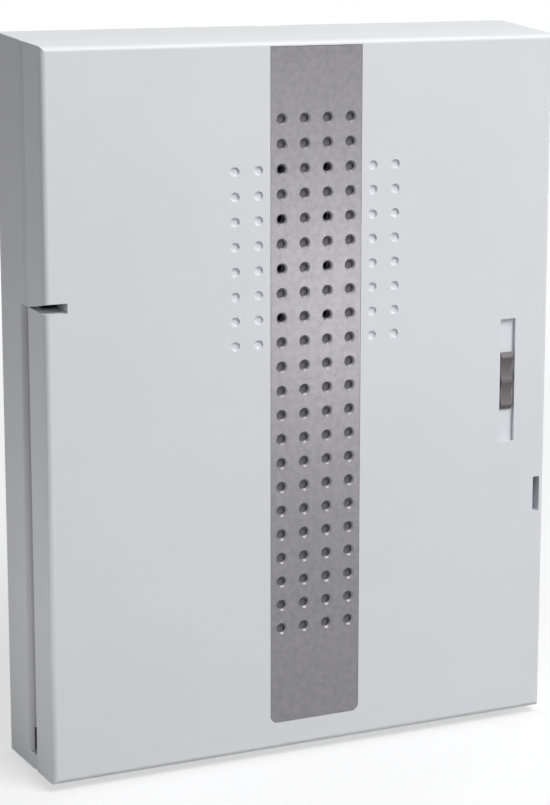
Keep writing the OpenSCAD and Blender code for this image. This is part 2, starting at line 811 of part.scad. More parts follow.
module front_cover() {
    color("whitesmoke") difference() {
        union() {
            difference() {
                between(parting + seam, depth + 1) flared(0, depth, edge_r);
                between(0, depth - face_t) flared(wall, depth, edge_r);
                between(0, parting + lip_h + lip_gap) flared(rebate_t, depth, edge_r);
            }
            // Bed behind the strip and ring in front of the speaker gasket
            slab(bed_d, depth - face_t + eps) {
                intersection() {
                    strip_outline(wall);
                    translate([-far, bottom_z + wall]) square([2 * far, face_h - 2 * wall]);
                }
                translate([speaker_x, speaker_z]) difference() {
                    circle(speaker_r);
                    circle(speaker_r - gasket_w);
                }
            }
            // Stiffening ribs inside the face
            for (x = cover_rib_x)
                brick(x, 0, cover_rib_t, face_h - 2 * wall,
                    depth - face_t - cover_rib_h, depth - face_t + eps);
            // Pocket that closes the release notch
            block(left_x + wall / 2, left_x + notch_len + rib_t, notch_z - notch_h - rib_t, notch_z + rib_t,
                parting + lip_h + 2 * lip_gap, depth - face_t + eps);
        }
        slab(depth - strip_t, depth + 1) strip_outline(strip_gap);
        for (row = [field_row:field_last])
            for (col = [0:hole_cols - 1])
                if (is_sound(row, col))
                    peg(col_place(col), row_height(row), hole_r + bed_play, bed_d - 1, depth);
        for (row = [field_row:field_last])
            for (col = [1:dimple_cols])
                for (x = [col_place(-col), col_place(hole_cols - 1 + col)])
                    turned(x, row_height(row))
                        polygon([[0, depth - dimple_h], [dimple_r - dimple_taper, depth - dimple_h],
                            [dimple_r, depth], [dimple_r, depth + 1], [0, depth + 1]]);
        brick(slot_x, slot_z, slot_w, slot_len, bed_d, depth + 1);
        // Guide pocket for the shutter
        brick(slot_x, slot_z, shutter_w + 2 * shutter_gap, pocket_len, bed_d, depth - slot_face_t);
        // Release notch, which tapers back along the left side
        translate([left_x - flare - 1, 0, 0]) rotate([90, 0, 90]) linear_extrude(flare + 1 + notch_len)
            polygon([[-depth - 1, notch_z], [-depth, notch_z], [-parting, groove_top],
                [-depth - 1, groove_top]]);
        brick(release_x, release_z, release_w, release_len, nose_d1 - nose_h, depth + 1);
    }
}

module grille_strip() {
    back = depth - strip_t;
    color("silver") difference() {
        slab(back, depth) strip_outline(0);
        for (row = [0:hole_rows - 1])
            for (col = [0:hole_cols - 1]) {
                floor_d = is_sound(row, col) ? back - 1 : back + strip_floor;
                turned(col_place(col), row_height(row))
                    polygon([[0, floor_d], [hole_r, floor_d], [hole_r, depth - hole_bevel],
                        [hole_r + hole_bevel + 1, depth + 1], [0, depth + 1]]);
            }
    }
}

module volume_knob() {
    half = knob_len / 2;
    foot = shutter_d1 + knob_end;
    dip_half = (half - knob_ramp - knob_ridge) / 2;
    dip_r = (dip_half * dip_half + knob_dip * knob_dip) / (2 * knob_dip);
    color("dimgray") difference() {
        translate([slot_x, 0, knob_z]) rotate([90, 0, 90]) linear_extrude(knob_w, center = true)
            polygon([[-shutter_d1, -half], [-shutter_d1, half], [-foot, half],
                [-knob_d1, half - knob_ramp], [-knob_d1, knob_ramp - half], [-foot, -half]]);
        for (side = [-1, 1])
            translate([slot_x, -(knob_d1 - knob_dip + dip_r), knob_z + side * (dip_half + knob_ridge / 2)])
                rotate([0, 90, 0]) cylinder(r = dip_r, h = slot_w, center = true, $fn = 96);
    }
}

module slider_shutter() {
    color("whitesmoke") {
        brick(slot_x, knob_z, shutter_w, shutter_len, shutter_d0, shutter_d1);
        // Socket for the lever
        difference() {
            brick(slot_x, knob_z, lever_t + 2 * hub_wall, lever_w + 2 * hub_wall,
                shutter_d0 - hub_h, shutter_d0 + eps);
            brick(slot_x, knob_z, lever_t, lever_w, shutter_d0 - hub_h - 1, lever_d1);
        }
    }
}

module pot_lever() {
    color("silver") brick(slot_x, knob_z, lever_t, lever_w, lever_d0, lever_d1);
}

module volume_pot_body() {
    pot_d1 = board_top + pot_h;
    ear_w = pot_w / 2;
    ear_len = 2.5;
    ear_t = 0.8;
    color("slategray") difference() {
        union() {
            brick(slot_x, slot_z, pot_w, pot_len, board_top, pot_d1);
            brick(slot_x, slot_z, ear_w, pot_len + 2 * ear_len, board_top, board_top + ear_t);
        }
        brick(slot_x, slot_z, lever_t + 2 * lever_play, pot_slot, lever_d0 - lever_play, pot_d1 + 1);
    }
}

module circuit_board() {
    color("darkgreen") slab(board_d, board_top) difference() {
        translate([board_x0, board_z0]) square([board_x1 - board_x0, board_z1 - board_z0]);
        for (p = board_holes) translate(p) circle(shank_r + shank_play);
    }
}

module board_screws() {
    color("silver") for (p = board_holes) pan_screw(p[0], p[1], board_top);
}

module terminal_block() {
    slope = 3;
    fin_t = 0.9;
    fin_h = 1.4;
    color("lightgray") difference() {
        union() {
            block(terminal_x0, terminal_x0 + terminal_len, terminal_z0, terminal_z0 + terminal_w,
                board_top, terminal_d1);
            // Fins between the poles
            for (i = [1:poles - 1])
                block(terminal_x0 + i * pole_w - fin_t / 2, terminal_x0 + i * pole_w + fin_t / 2,
                    terminal_z0 + slope + 1, terminal_z0 + terminal_w,
                    terminal_d1 - eps, terminal_d1 + fin_h);
        }
        // Sloped front edge below the screws
        translate([terminal_x0 - 1, 0, 0]) rotate([90, 0, 90]) linear_extrude(terminal_len + 2)
            polygon([[-terminal_d1 - 1, terminal_z0 - 1], [-terminal_d1 + slope, terminal_z0 - 1],
                [-terminal_d1 - 1, terminal_z0 + slope]]);
        for (x = pole_places) {
            peg(x, pole_z, well_r, terminal_d1 - well_h, terminal_d1 + 1);
            // Wire hole in the upper side
            brick(x, terminal_z0 + terminal_w, wire_hole, 2 * wire_reach,
                board_top + 1.5, board_top + 1.5 + wire_hole);
        }
    }
}

module terminal_screws() {
    blade_w = 0.7;
    blade_h = 1;
    screw_d1 = terminal_d1 - well_sink;
    color("silver") for (x = pole_places) difference() {
        peg(x, pole_z, well_r - 0.1, terminal_d1 - well_h, screw_d1);
        brick(x, pole_z, 3 * well_r, blade_w, screw_d1 - blade_h, terminal_d1);
    }
}

module sound_chip() {
    color("dimgray") dip_chip(sound_z, sound_len, 8);
}

module amplifier_chip() {
    color("dimgray") dip_chip(amp_z, amp_len, 4);
}

module bridge_rectifier() {
    chamfer = 1.2;
    color("dimgray") turned(chip_x, rectifier_z) difference() {
        translate([0, board_top]) square([rectifier_r, rectifier_h]);
        translate([rectifier_r, board_top + rectifier_h]) rotate([0, 0, 45]) square(chamfer, center = true);
    }
}

module smoothing_capacitor() {
    color("darkslateblue") can(slot_x, smooth_z, smooth_r, smooth_h);
}

module coupling_capacitor() {
    color("darkslateblue") can(chip_x, couple_z, couple_r, couple_h);
}

module resistors() {
    color("tan") for (z = resistor_places) resistor(chip_x, z);
}

module melody_switch_body() {
    color("lightgray") difference() {
        brick(slot_x, melody_z, melody_size[0], melody_size[1], board_top, board_top + melody_size[2]);
        brick(slot_x, melody_z, melody_stub[0] + 2 * lever_play,
            melody_stub[1] + melody_travel + 2 * lever_play, melody_d0, board_top + melody_size[2] + 1);
    }
}

module melody_knob() {
    stub_rise = 3;
    color("dimgray") brick(slot_x, melody_z - melody_travel / 2, melody_stub[0], melody_stub[1],
        melody_d0 + lever_play, board_top + melody_size[2] + stub_rise);
}

module speaker_basket() {
    ring = pole_r + 6;
    seat_w = 2;
    window_w = 14;
    low_d = spider_d - 2 * basket_t;
    color("gray") difference() {
        union() {
            turned(speaker_x, speaker_z) polygon([
                [flange_in, flange_d0], [basket_r - basket_t / 2, flange_d0],
                [seat_r + seat_w, spider_d - basket_t], [seat_r, spider_d - basket_t],
                [seat_r, basket_back + basket_t], [ring, basket_back + basket_t], [ring, basket_back],
                [seat_r + basket_t, basket_back], [seat_r + basket_t, low_d],
                [seat_r + seat_w + basket_t / 2, low_d], [basket_r + basket_t / 2, flange_d0],
                [speaker_r, flange_d0], [speaker_r, gasket_d0], [flange_in, gasket_d0],
            ]);
            slab(flange_d0, gasket_d0) for (p = lugs) translate(p) circle(lug_r);
        }
        for (p = lugs) peg(p[0], p[1], shank_r + shank_play, flange_d0 - 1, gasket_d0 + 1);
        // Windows in the slanted wall
        for (a = [0:90:270])
            translate([speaker_x, 0, speaker_z]) rotate([0, a, 0])
                block(seat_r + seat_w + 1.4, basket_r - 2.1, -window_w / 2, window_w / 2,
                    spider_d - basket_t / 2, flange_d0 - 2 * basket_t);
    }
}

module speaker_magnet() {
    bore_r = coil_r + 3;
    color("dimgray") turned(speaker_x, speaker_z)
        translate([bore_r, magnet_d0]) square([plate_r - bore_r, magnet_t]);
}

module speaker_yoke() {
    color("silver") turned(speaker_x, speaker_z) {
        translate([0, yoke_d0]) square([steel_r, plate_t]);
        translate([0, yoke_d0]) square([pole_r, plate_t + magnet_t + plate_t]);
    }
}

module speaker_top_plate() {
    bore_r = coil_r + coil_gap;
    color("silver") turned(speaker_x, speaker_z)
        translate([bore_r, top_plate_d0]) square([steel_r - bore_r, plate_t]);
}

module speaker_spider() {
    inner = coil_r + 0.1;
    outer = seat_r + 1.6;
    waves = 3;
    wave_h = 0.35;
    steps = 24;
    t = 0.35;
    top = [
        for (i = [0:steps])
            let (s = i / steps)
            [inner + (outer - inner) * s, spider_d + t + wave_h * (1 - cos(360 * waves * s)) / 2]
    ];
    color("goldenrod") turned(speaker_x, speaker_z)
        polygon(concat(top, [for (i = [steps:-1:0]) top[i] - [0, t]]));
}

module speaker_surround() {
    t = surround_t;
    level = gasket_d0 + 0.05;
    first = flange_in - 3 * roll_r + t;
    second = flange_in - roll_r;
    color("dimgray") turned(speaker_x, speaker_z) {
        // Roll that stands forward, then one that hangs back
        intersection() {
            translate([first, level]) roll_ring(t);
            translate([0, level]) square([speaker_r, roll_r]);
        }
        intersection() {
            translate([second, level]) roll_ring(t);
            translate([0, level - roll_r]) square([speaker_r, roll_r + eps]);
        }
        translate([flange_in - t, level]) square([landing_w + t, t]);
        translate([cone_r - 1, level]) square([first - roll_r + t - cone_r + 1, t]);
    }
}

// Section of one roll of the surround
module roll_ring(t) {
    difference() {
        circle(roll_r);
        circle(roll_r - t);
    }
}

module speaker_cone() {
    steps = 6;
    rim_d = gasket_d0;
    outer = [
        for (i = [0:steps])
            let (s = i / steps)
            [coil_r + (cone_r - coil_r) * s, neck_d + (rim_d - neck_d) * (0.75 * s + 0.25 * s * s)]
    ];
    color("dimgray") turned(speaker_x, speaker_z)
        polygon(concat(outer, [for (i = [steps:-1:0]) outer[i] - [0, cone_t]]));
}

module speaker_dust_cap() {
    rise = 3;
    dome_r = (cap_r * cap_r + rise * rise) / (2 * rise);
    seat = neck_d + 2.2;
    color("black") turned(speaker_x, speaker_z) intersection() {
        difference() {
            translate([0, seat + rise - dome_r]) circle(dome_r);
            translate([0, seat + rise - dome_r]) circle(dome_r - 0.5);
        }
        translate([0, seat]) square([cap_r, rise + 1]);
    }
}

module voice_coil() {
    coil_end = top_plate_d0 - cone_travel - 1;
    color("peru") turned(speaker_x, speaker_z)
        translate([coil_r - former_t, coil_end]) square([former_t, neck_d - coil_end]);
}

module speaker_gasket() {
    color("black") slab(gasket_d0, gasket_d0 + gasket_t) translate([speaker_x, speaker_z]) difference() {
        circle(speaker_r);
        circle(speaker_r - gasket_w);
    }
}

module speaker_tags() {
    x = speaker_x + speaker_r - 0.5;
    strip_size = [0.8, 11];
    tag_size = [tag_t, 2.4];
    color("saddlebrown") {
        brick(x - strip_size[0] / 2, speaker_z, strip_size[0], strip_size[1], flange_d0 - 8.5, flange_d0);
        for (s = [-1, 1])
            brick(x + tag_t / 2 - eps, speaker_z + s * tag_off, tag_size[0], tag_size[1],
                flange_d0 - 8, flange_d0 - 3);
    }
}

module speaker_leads() {
    x = speaker_x + speaker_r - 0.5 + tag_t;
    d = flange_d0 - 5.5;
    pad_x = board_x0 + 2;
    color("firebrick") for (s = [-1, 1]) {
        z0 = speaker_z + s * tag_off;
        z1 = couple_z + s * tag_off;
        lead([[x, -d, z0], [x + 1.6, -d, z0], [board_x0 - 0.6, -d + 2.5, (z0 + z1) / 2],
            [pad_x - 0.2, -board_top - 5, z1], [pad_x, -board_top - 1.5, z1], [pad_x, -board_top, z1]], 2);
    }
}

module speaker_screws() {
    color("silver") for (p = lugs) pan_screw(p[0], p[1], gasket_d0);
}

module battery_cells() {
    color("slategray") {
        for (i = [0, 1]) {
            cell(-row_half + bump_h + (i + 0.5) * cell_len, high_row, -1);
            cell(row_half - bump_h - (i + 0.5) * cell_len, low_row, 1);
        }
    }
}

module contact_plus() {
    color("silver") {
        contact_sheet(-1, high_row - contact_w / 2, high_row + contact_w / 2);
        contact_bump(-1, high_row);
        block(-bay_x, -row_half, high_row + contact_w / 2 - eps, tag_z,
            cell_mid - tag_w / 2, cell_mid + tag_w / 2);
    }
}

module contact_minus() {
    color("silver") {
        contact_sheet(-1, low_row - contact_w / 2, low_row + contact_w / 2);
        contact_leaf(-1, low_row);
    }
}

module contact_bridge() {
    color("silver") {
        contact_sheet(1, low_row - contact_w / 2, high_row + contact_w / 2);
        contact_bump(1, low_row);
        contact_leaf(1, high_row);
    }
}

module battery_lead_red() {
    z = tag_z - 1.6;
    color("red") lead([[-row_half, -cell_mid, z], [-row_half + 2, -cell_mid, z],
        [-row_half + 6, -cell_mid + 5, z], [-row_half + 11, -lead_d - 1.5, z],
        [-row_half + 20, -lead_d, z], [-8, -lead_d, z], [20, -lead_d, z],
        [chip_x - 8, -lead_d - 0.8, z], [chip_x - 1, -board_top - 1, board_z0 - 2],
        [chip_x, -board_top - 4, board_z0 + 0.4], [chip_x, -board_top - 2, board_z0 + 2.2],
        [chip_x, -board_top, board_z0 + 2.2]], 2);
}

module battery_lead_black() {
    x = -bay_x - rib_t - 1.6;
    z = tag_z + 0.6;
    pad_x = chip_x + 3.6;
    color("black") lead([[-bay_x, -cell_mid, low_row], [-bay_x - 1.2, -cell_mid, low_row],
        [x, -cell_mid + 2, low_row + 2.5], [x, -cell_mid + 7, low_row + 7], [x, -lead_d - 1.5, low_row + 14],
        [x, -lead_d, low_row + 22], [x, -lead_d, high_row + 8], [x + 1.5, -lead_d, z - 3],
        [x + 9, -lead_d, z], [-12, -lead_d, z], [20, -lead_d, z], [pad_x - 9, -lead_d - 0.8, z],
        [pad_x - 1, -board_top - 1.4, board_z0 - 1.8], [pad_x, -board_top - 4, board_z0 + 0.4],
        [pad_x, -board_top - 2, board_z0 + 2.2], [pad_x, -board_top, board_z0 + 2.2]], 2);
}

base_tray();
front_cover();
grille_strip();
volume_knob();
slider_shutter();
pot_lever();
volume_pot_body();
circuit_board();
board_screws();
terminal_block();
terminal_screws();
sound_chip();
amplifier_chip();
bridge_rectifier();
smoothing_capacitor();
coupling_capacitor();
resistors();
melody_switch_body();
melody_knob();
speaker_basket();
speaker_magnet();
speaker_yoke();
speaker_top_plate();
speaker_spider();
speaker_surround();
speaker_cone();
speaker_dust_cap();
voice_coil();
speaker_gasket();
speaker_tags();
speaker_leads();
speaker_screws();
battery_cells();
contact_plus();
contact_minus();
contact_bridge();
battery_lead_red();
battery_lead_black();
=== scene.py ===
"""Looks of a wall-mounted door chime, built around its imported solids."""

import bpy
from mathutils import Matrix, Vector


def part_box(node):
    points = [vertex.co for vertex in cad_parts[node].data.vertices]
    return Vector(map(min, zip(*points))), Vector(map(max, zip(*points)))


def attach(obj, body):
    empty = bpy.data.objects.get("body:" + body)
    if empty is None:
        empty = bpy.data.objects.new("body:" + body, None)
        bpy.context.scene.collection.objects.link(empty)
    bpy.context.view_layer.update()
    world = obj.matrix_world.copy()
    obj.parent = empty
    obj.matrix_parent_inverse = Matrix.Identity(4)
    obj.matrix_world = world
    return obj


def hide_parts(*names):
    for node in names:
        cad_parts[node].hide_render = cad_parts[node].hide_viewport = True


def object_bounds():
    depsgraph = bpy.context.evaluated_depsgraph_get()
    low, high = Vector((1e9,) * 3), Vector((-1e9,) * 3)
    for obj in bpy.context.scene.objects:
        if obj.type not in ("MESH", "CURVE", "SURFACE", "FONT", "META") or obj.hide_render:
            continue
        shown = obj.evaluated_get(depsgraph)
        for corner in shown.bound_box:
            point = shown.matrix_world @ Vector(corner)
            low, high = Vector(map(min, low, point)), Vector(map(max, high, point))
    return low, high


bl_info = {
    "name": "Door chime box",
    "version": (1, 0, 0),
    "blender": (4, 5, 0),
    "location": "View3D > Sidebar > Chime",
    "description": "Finishes, wiring, solder and stage of a wall-mounted door chime",
    "category": "Object",
}

import math

import bpy
from bpy.props import FloatProperty, FloatVectorProperty, IntProperty, PointerProperty
from mathutils import Matrix, Vector

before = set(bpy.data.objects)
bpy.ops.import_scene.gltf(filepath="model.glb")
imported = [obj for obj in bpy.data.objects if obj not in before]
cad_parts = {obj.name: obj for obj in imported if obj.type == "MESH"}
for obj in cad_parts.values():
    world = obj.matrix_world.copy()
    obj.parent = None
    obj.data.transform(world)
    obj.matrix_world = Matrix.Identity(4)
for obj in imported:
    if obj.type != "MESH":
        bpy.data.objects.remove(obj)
CAD_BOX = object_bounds()
MM = 0.001

# The numbers down to the resistors' rings are in millimetres, apart from shares, chances and counts.
# Groove of the left side: its two ends; then its painted shade: where the shade starts and is full from
# the wall, how far into the side it reaches, and how strong it is.
GROOVE_TOP = 28.7
GROOVE_LOW = -91.7
PAINTED_SHADE_START = 13.9
PAINTED_SHADE_FULL = 15.9
PAINTED_SHADE_REACH = 5.0
PAINTED_SHADE_SHARE = 0.32
# Strip: the depths in a hole at which the paint thins and ends.
PAINT_THINS = 0.45
PAINT_ENDS = 0.8
# Board: the grid of its legs, its tracks, its round pads and the printed outlines.
GRID = 2.54
TRACK_HALF = 0.42
TRACK_STRETCH = 11.0
TRACK_STAGGER = 4.1
TRACK_CHANCE = 0.58
PAD_RADIUS = 0.8
PAD_CHANCE = 0.3
PRINT_DEPTH = 0.05
PRINT_GAP = 0.7
PRINT_HALF = 0.13
CUT_EDGE = 0.03
# Parts of the board: a chip's moulding, dot and legs, a can's top, a resistor's length and rings.
CHIP_BODY = 6.4
DOT_RADIUS = 0.4
DOT_FROM_SIDE = 1.2
DOT_FROM_END = 1.4
LEG_END = 0.18
CAN_RIM = 0.85
CAN_TOP = 0.6
SCORE_HALF = 0.13
RESISTOR_HALF = 3.2
RESISTOR_PITCH = 4.0
RESISTOR_GAP = 1.2
RING_HALF = 0.32
WIRE_END = 0.32
# Voice coil: the length of its winding and the pitch of its wire. Tags: their thickness.
WINDING = 4.6
WIRE = 0.22
TAG = 0.42
# Cells: the shift between the two rows, a cell's diameter, its bare ends, its band and its line.
ROW_SHIFT = 1.8
CELL_WIDTH = 26.2
CELL_END = 12.4
CELL_BAND = 13.0
CELL_LINE = 14.2
LINE_HALF = 0.35
# Leads: their height on the floor of the base, and where they meet the board.
LEAD_Y = -3.2
LEAD_INSET = 2.2
LEAD_GAP = 3.6
PAIR_INSET = 2.0
PAIR_HALF = 2.6
# Cloth and foam of the loudspeaker: laps, gaps, and the slit where the glued part starts.
GLUE_LAP = 1.0
SLIT = 0.05
ROLL_SPARE = 0.3
ROLL_FOOT = 0.15
COIL_GAP = 0.1
GASKET_GAP = 0.3
GASKET_EDGE = 0.4
GASKET_BEND = 0.12
SPIDER_WAVES = 3
SPIDER_STEPS = 48
TURN_STEPS = 96
# Places on a resistor, and the two colours that the ring there may have.
RINGS = (
    (-2.3, (0.16, 0.06, 0.02), (0.50, 0.34, 0.01)),
    (-1.0, (0.45, 0.02, 0.02), (0.07, 0.02, 0.16)),
    (0.2, (0.55, 0.16, 0.01), (0.01, 0.01, 0.01)),
    (2.2, (0.45, 0.28, 0.06), (0.45, 0.28, 0.06)),
)
# Lights in metres: place, aim, width and the setting with the power.
LIGHTS = (
    ("key_light", (0.28, -0.65, 0.85), (0, 0, 0), 0.6, "key_power"),
    ("rear_light", (0.80, 0.60, 0.12), (0, 0, 0), 0.4, "rear_power"),
    ("fill_light", (-0.17, -0.045, -0.088), (-0.136, -0.04, 0.006), 0.03, "fill_power"),
    ("sheen_light", (0.20, -0.45, -0.053), (0, -0.03, 0.03), 0.06, "sheen_power"),
)
# Floor in metres: its width and its gap below the object. It fades to white between two distances in mm.
FLOOR_WIDTH = 8.0
FLOOR_GAP = 0.0004
FADE_START = 150
FADE_END = 700
WHITE = (1.0, 1.0, 1.0, 1.0)
SKY_TINT = (0.97, 0.98, 1.0, 1.0)


def box_mm(node):
    """Lowest and highest corner of a solid, in millimetres."""
    low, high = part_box(node)
    return low / MM, high / MM


def middle_mm(node):
    """Middle of a solid's box, in millimetres."""
    low, high = box_mm(node)
    return (low + high) / 2


def radius_mm(node):
    """Half the width of a round solid, in millimetres."""
    low, high = box_mm(node)
    return (high.x - low.x) / 2


def colour_of(name, about, default):
    """A colour that a user may change."""
    return FloatVectorProperty(name=name, description=about, default=default, subtype="COLOR",
                               size=3, min=0.0, max=1.0)


def length_of(name, about, default):
    """A size in metres that a user may change."""
    return FloatProperty(name=name, description=about, default=default, unit="LENGTH", min=0.0,
                         precision=5)


def power_of(name, about, default):
    """A light's power that a user may change."""
    return FloatProperty(name=name, description=about, default=default, unit="POWER", min=0.0)


class CHIME_PG_colours(bpy.types.PropertyGroup):
    """Colours of the finishes"""
    cover: colour_of("Cover", "White of the front cover and the shutter", (0.785, 0.790, 0.822))
    base: colour_of("Base", "White of the base tray", (0.765, 0.768, 0.785))
    # Colour of the painted shade that darkens the groove of the left side.
    groove_shade_colour: colour_of("Painted_shade", "Dust in the groove of the left side", (0.36, 0.33, 0.35))
    strip: colour_of("Strip", "Silver paint on the perforated strip", (0.235, 0.230, 0.243))
    strip_body: colour_of("Strip body", "Dark plastic inside the strip's holes", (0.157, 0.154, 0.172))
    knob: colour_of("Knob", "Grey of the volume slider", (0.140, 0.126, 0.130))
    zinc: colour_of("Zinc", "Plated steel of screws, basket and lever", (0.620, 0.625, 0.630))
    nickel: colour_of("Nickel", "Plated sheet of the battery contacts", (0.700, 0.685, 0.650))
    tin: colour_of("Tin", "Tinned legs, tags and shells", (0.600, 0.600, 0.610))
    board: colour_of("Board", "Solder mask on the circuit board", (0.020, 0.130, 0.060))
    board_edge: colour_of("Board edge", "Bare laminate at the board's cut edge", (0.36, 0.33, 0.19))
    copper: colour_of("Copper tracks", "Tracks under the solder mask", (0.050, 0.235, 0.105))
    legend: colour_of("Legend", "Printed outlines on the board", (0.780, 0.780, 0.740))
    terminal: colour_of("Terminal", "Plastic of the terminal block", (0.500, 0.520, 0.540))
    chip: colour_of("Chip", "Black moulding of the chips", (0.022, 0.022, 0.024))
    chip_dot: colour_of("Chip dot", "Dot at the first leg of a chip", (0.42, 0.42, 0.40))
    sleeve: colour_of("Sleeve", "Sleeve of the capacitors", (0.025, 0.045, 0.150))
    stripe: colour_of("Stripe", "Stripe on the capacitor sleeves", (0.560, 0.600, 0.660))
    can: colour_of("Can", "Bare top of the capacitors", (0.63, 0.64, 0.65))
    # Painted shade: a darker colour for the scored cross, in place of the shade in its groove.
    score_shade_colour: colour_of("Can score", "Scored cross on the capacitors' tops", (0.22, 0.22, 0.23))
    resistor: colour_of("Resistor", "Lacquer of the resistors", (0.560, 0.400, 0.235))
    ferrite: colour_of("Ferrite", "Sintered ring magnet", (0.075, 0.075, 0.082))
    spider: colour_of("Spider", "Treated weave of the spider", (0.560, 0.370, 0.130))
    surround: colour_of("Surround", "Coated cloth of the surround", (0.045, 0.045, 0.050))
    cone: colour_of("Cone", "Pressed fibre of the cone", (0.075, 0.074, 0.078))
    coil: colour_of("Coil", "Enamelled winding of the voice coil", (0.580, 0.250, 0.110))
    former_dark: colour_of("Former, dark", "Darker spots of the coil's paper", (0.30, 0.17, 0.07))
    former_light: colour_of("Former, light", "Lighter spots of the coil's paper", (0.40, 0.24, 0.10))
    foam: colour_of("Foam", "Foam of the gasket", (0.040, 0.040, 0.042))
    hard_paper: colour_of("Hard paper", "Strip that carries the speaker's tags", (0.330, 0.175, 0.080))
    cell: colour_of("Cell", "Jacket of the cells", (0.095, 0.105, 0.130))
    cell_band: colour_of("Cell band", "Band at the plus end of a cell", (0.600, 0.330, 0.080))
    cell_end: colour_of("Cell end", "Bare steel at the ends of a cell", (0.66, 0.66, 0.66))
    lead_red: colour_of("Red lead", "Insulation of the red leads", (0.480, 0.020, 0.022))
    lead_black: colour_of("Black lead", "Insulation of the black leads", (0.018, 0.018, 0.020))
    floor: colour_of("Floor", "Pale floor of the stage", (0.380, 0.380, 0.385))


class CHIME_PG_sizes(bpy.types.PropertyGroup):
    """Sizes of the pieces that are modelled here"""
    lead_radius: length_of("Lead radius", "Radius of an insulated lead", 0.0007)
    lead_sides: IntProperty(name="Lead sides", description="Steps around a quarter of a lead",
                            default=3, min=2, max=6)
    cloth_thickness: length_of("Cloth thickness", "Thickness of the surround and the spider", 0.0004)
    skirt: length_of("Surround skirt", "Depth of the surround behind its inner edge", 0.0009)
    collar_width: length_of("Spider collar", "Width of the spider that is glued to the coil", 0.0022)
    fillet_radius: length_of("Fillet radius", "Radius of a solder fillet on the board", 0.00085)
    fillet_height: length_of("Fillet height", "Height of a solder fillet", 0.00075)


class CHIME_PG_stage(bpy.types.PropertyGroup):
    """Camera and light"""
    camera_place: FloatVectorProperty(name="Camera place", description="Where the camera stands",
                                      default=(-0.2167, -0.5232, 0.1275), subtype="TRANSLATION",
                                      unit="LENGTH")
    camera_yaw: FloatProperty(name="Yaw", description="Turn of the camera to the right",
                              default=math.radians(22.888), subtype="ANGLE")
    camera_pitch: FloatProperty(name="Pitch", description="Tilt of the camera downwards",
                                default=math.radians(9.856), subtype="ANGLE")
    lens: FloatProperty(name="Lens", description="Focal length in millimetres", default=93.2, min=1.0)
    shift: FloatProperty(name="Shift", description="Vertical shift of the picture", default=-0.16)
    key_power: power_of("Key light", "Power of the large light above", 10.6)
    fill_power: power_of("Fill light", "Power of the low light on the left", 0.038)
    sheen_power: power_of("Sheen light", "Power of the low light at the front right", 0.15)
    rear_power: power_of("Rear light", "Power of the light behind the object", 3.0)
    sky: FloatProperty(name="Sky", description="Even light from all around", default=0.18, min=0.0)
    glow: FloatProperty(name="Floor glow", default=0.58, min=0.0,
                        description="Brightness of the floor in shadow, for the camera alone")


class CHIME_PG_settings(bpy.types.PropertyGroup):
    """All settings of the chime"""
    colours: PointerProperty(type=CHIME_PG_colours, name="Colours", description="Colours of the finishes")
    sizes: PointerProperty(type=CHIME_PG_sizes, name="Sizes", description="Sizes of added pieces")
    stage: PointerProperty(type=CHIME_PG_stage, name="Stage", description="Camera and light")


class Socket:
    """A value that changes over a surface. Python's operators on it add Math nodes."""

    def __init__(self, owner, socket):
        self.owner = owner
        self.socket = socket

    def out(self, name):
        """Another output of the same node."""
        return Socket(self.owner, self.socket.node.outputs[name])

    def maths(self, operation, *others):
        """One Math node with this value first."""
        values = dict(enumerate((self,) + others))
        return self.owner.node("ShaderNodeMath", {"operation": operation}, values)

    def after(self, operation, first):
        """One Math node with this value second."""
        return self.owner.node("ShaderNodeMath", {"operation": operation}, {0: first, 1: self})

    def __add__(self, other):
        return self.maths("ADD", other)

    def __radd__(self, other):
        return self.after("ADD", other)

    def __sub__(self, other):
        return self.maths("SUBTRACT", other)

    def __rsub__(self, other):
        return self.after("SUBTRACT", other)

    def __mul__(self, other):
        return self.maths("MULTIPLY", other)

    def __rmul__(self, other):
        return self.after("MULTIPLY", other)

    def __truediv__(self, other):
        return self.maths("DIVIDE", other)

    def __rtruediv__(self, other):
        return self.after("DIVIDE", other)

    def __lt__(self, other):
        return self.maths("LESS_THAN", other)

    def __gt__(self, other):
        return self.maths("GREATER_THAN", other)

    def __abs__(self):
        return self.maths("ABSOLUTE")

    def larger(self, other):
        """The larger of two values."""
        return self.maths("MAXIMUM", other)

    def smaller(self, other):
        """The smaller of two values."""
        return self.maths("MINIMUM", other)

    def sine(self):
        """Sine of the value in radians."""
        return self.maths("SINE")

    def floor(self):
        """The value without its fraction."""
        return self.maths("FLOOR")

    def rise(self, low, high):
        """A smooth rise from 0 at low to 1 at high."""
        return self.owner.node("ShaderNodeMapRange", {"interpolation_type": "SMOOTHSTEP"},
                               {"Value": self, "From Min": low, "From Max": high})


def distance(one, other):
    """Length of a line from its two parts."""
    return (one * one + other * other).maths("SQRT")


class NodeTree:
    """The nodes of a material or of the world, none at first."""

    def __init__(self, holder):
        holder.use_nodes = True
        self.tree = holder.node_tree
        self.tree.nodes.clear()

    def node(self, kind, settings=None, sockets=None):
        """Adds a node: its settings come first, then the values or links of its sockets."""
        made = self.tree.nodes.new(kind)
        for name, value in (settings or {}).items():
            setattr(made, name, value)
        for key, value in (sockets or {}).items():
            if isinstance(value, Socket):
                self.tree.links.new(value.socket, made.inputs[key])
            else:
                made.inputs[key].default_value = value
        return Socket(self, made.outputs[0]) if made.outputs else made

    def seen(self):
        """1 where the camera looks, also in a reflection or through glass, and 0 for light."""
        path = self.node("ShaderNodeLightPath")
        direct = path.out("Is Camera Ray")
        return direct.larger(path.out("Is Glossy Ray")).larger(path.out("Is Transmission Ray"))


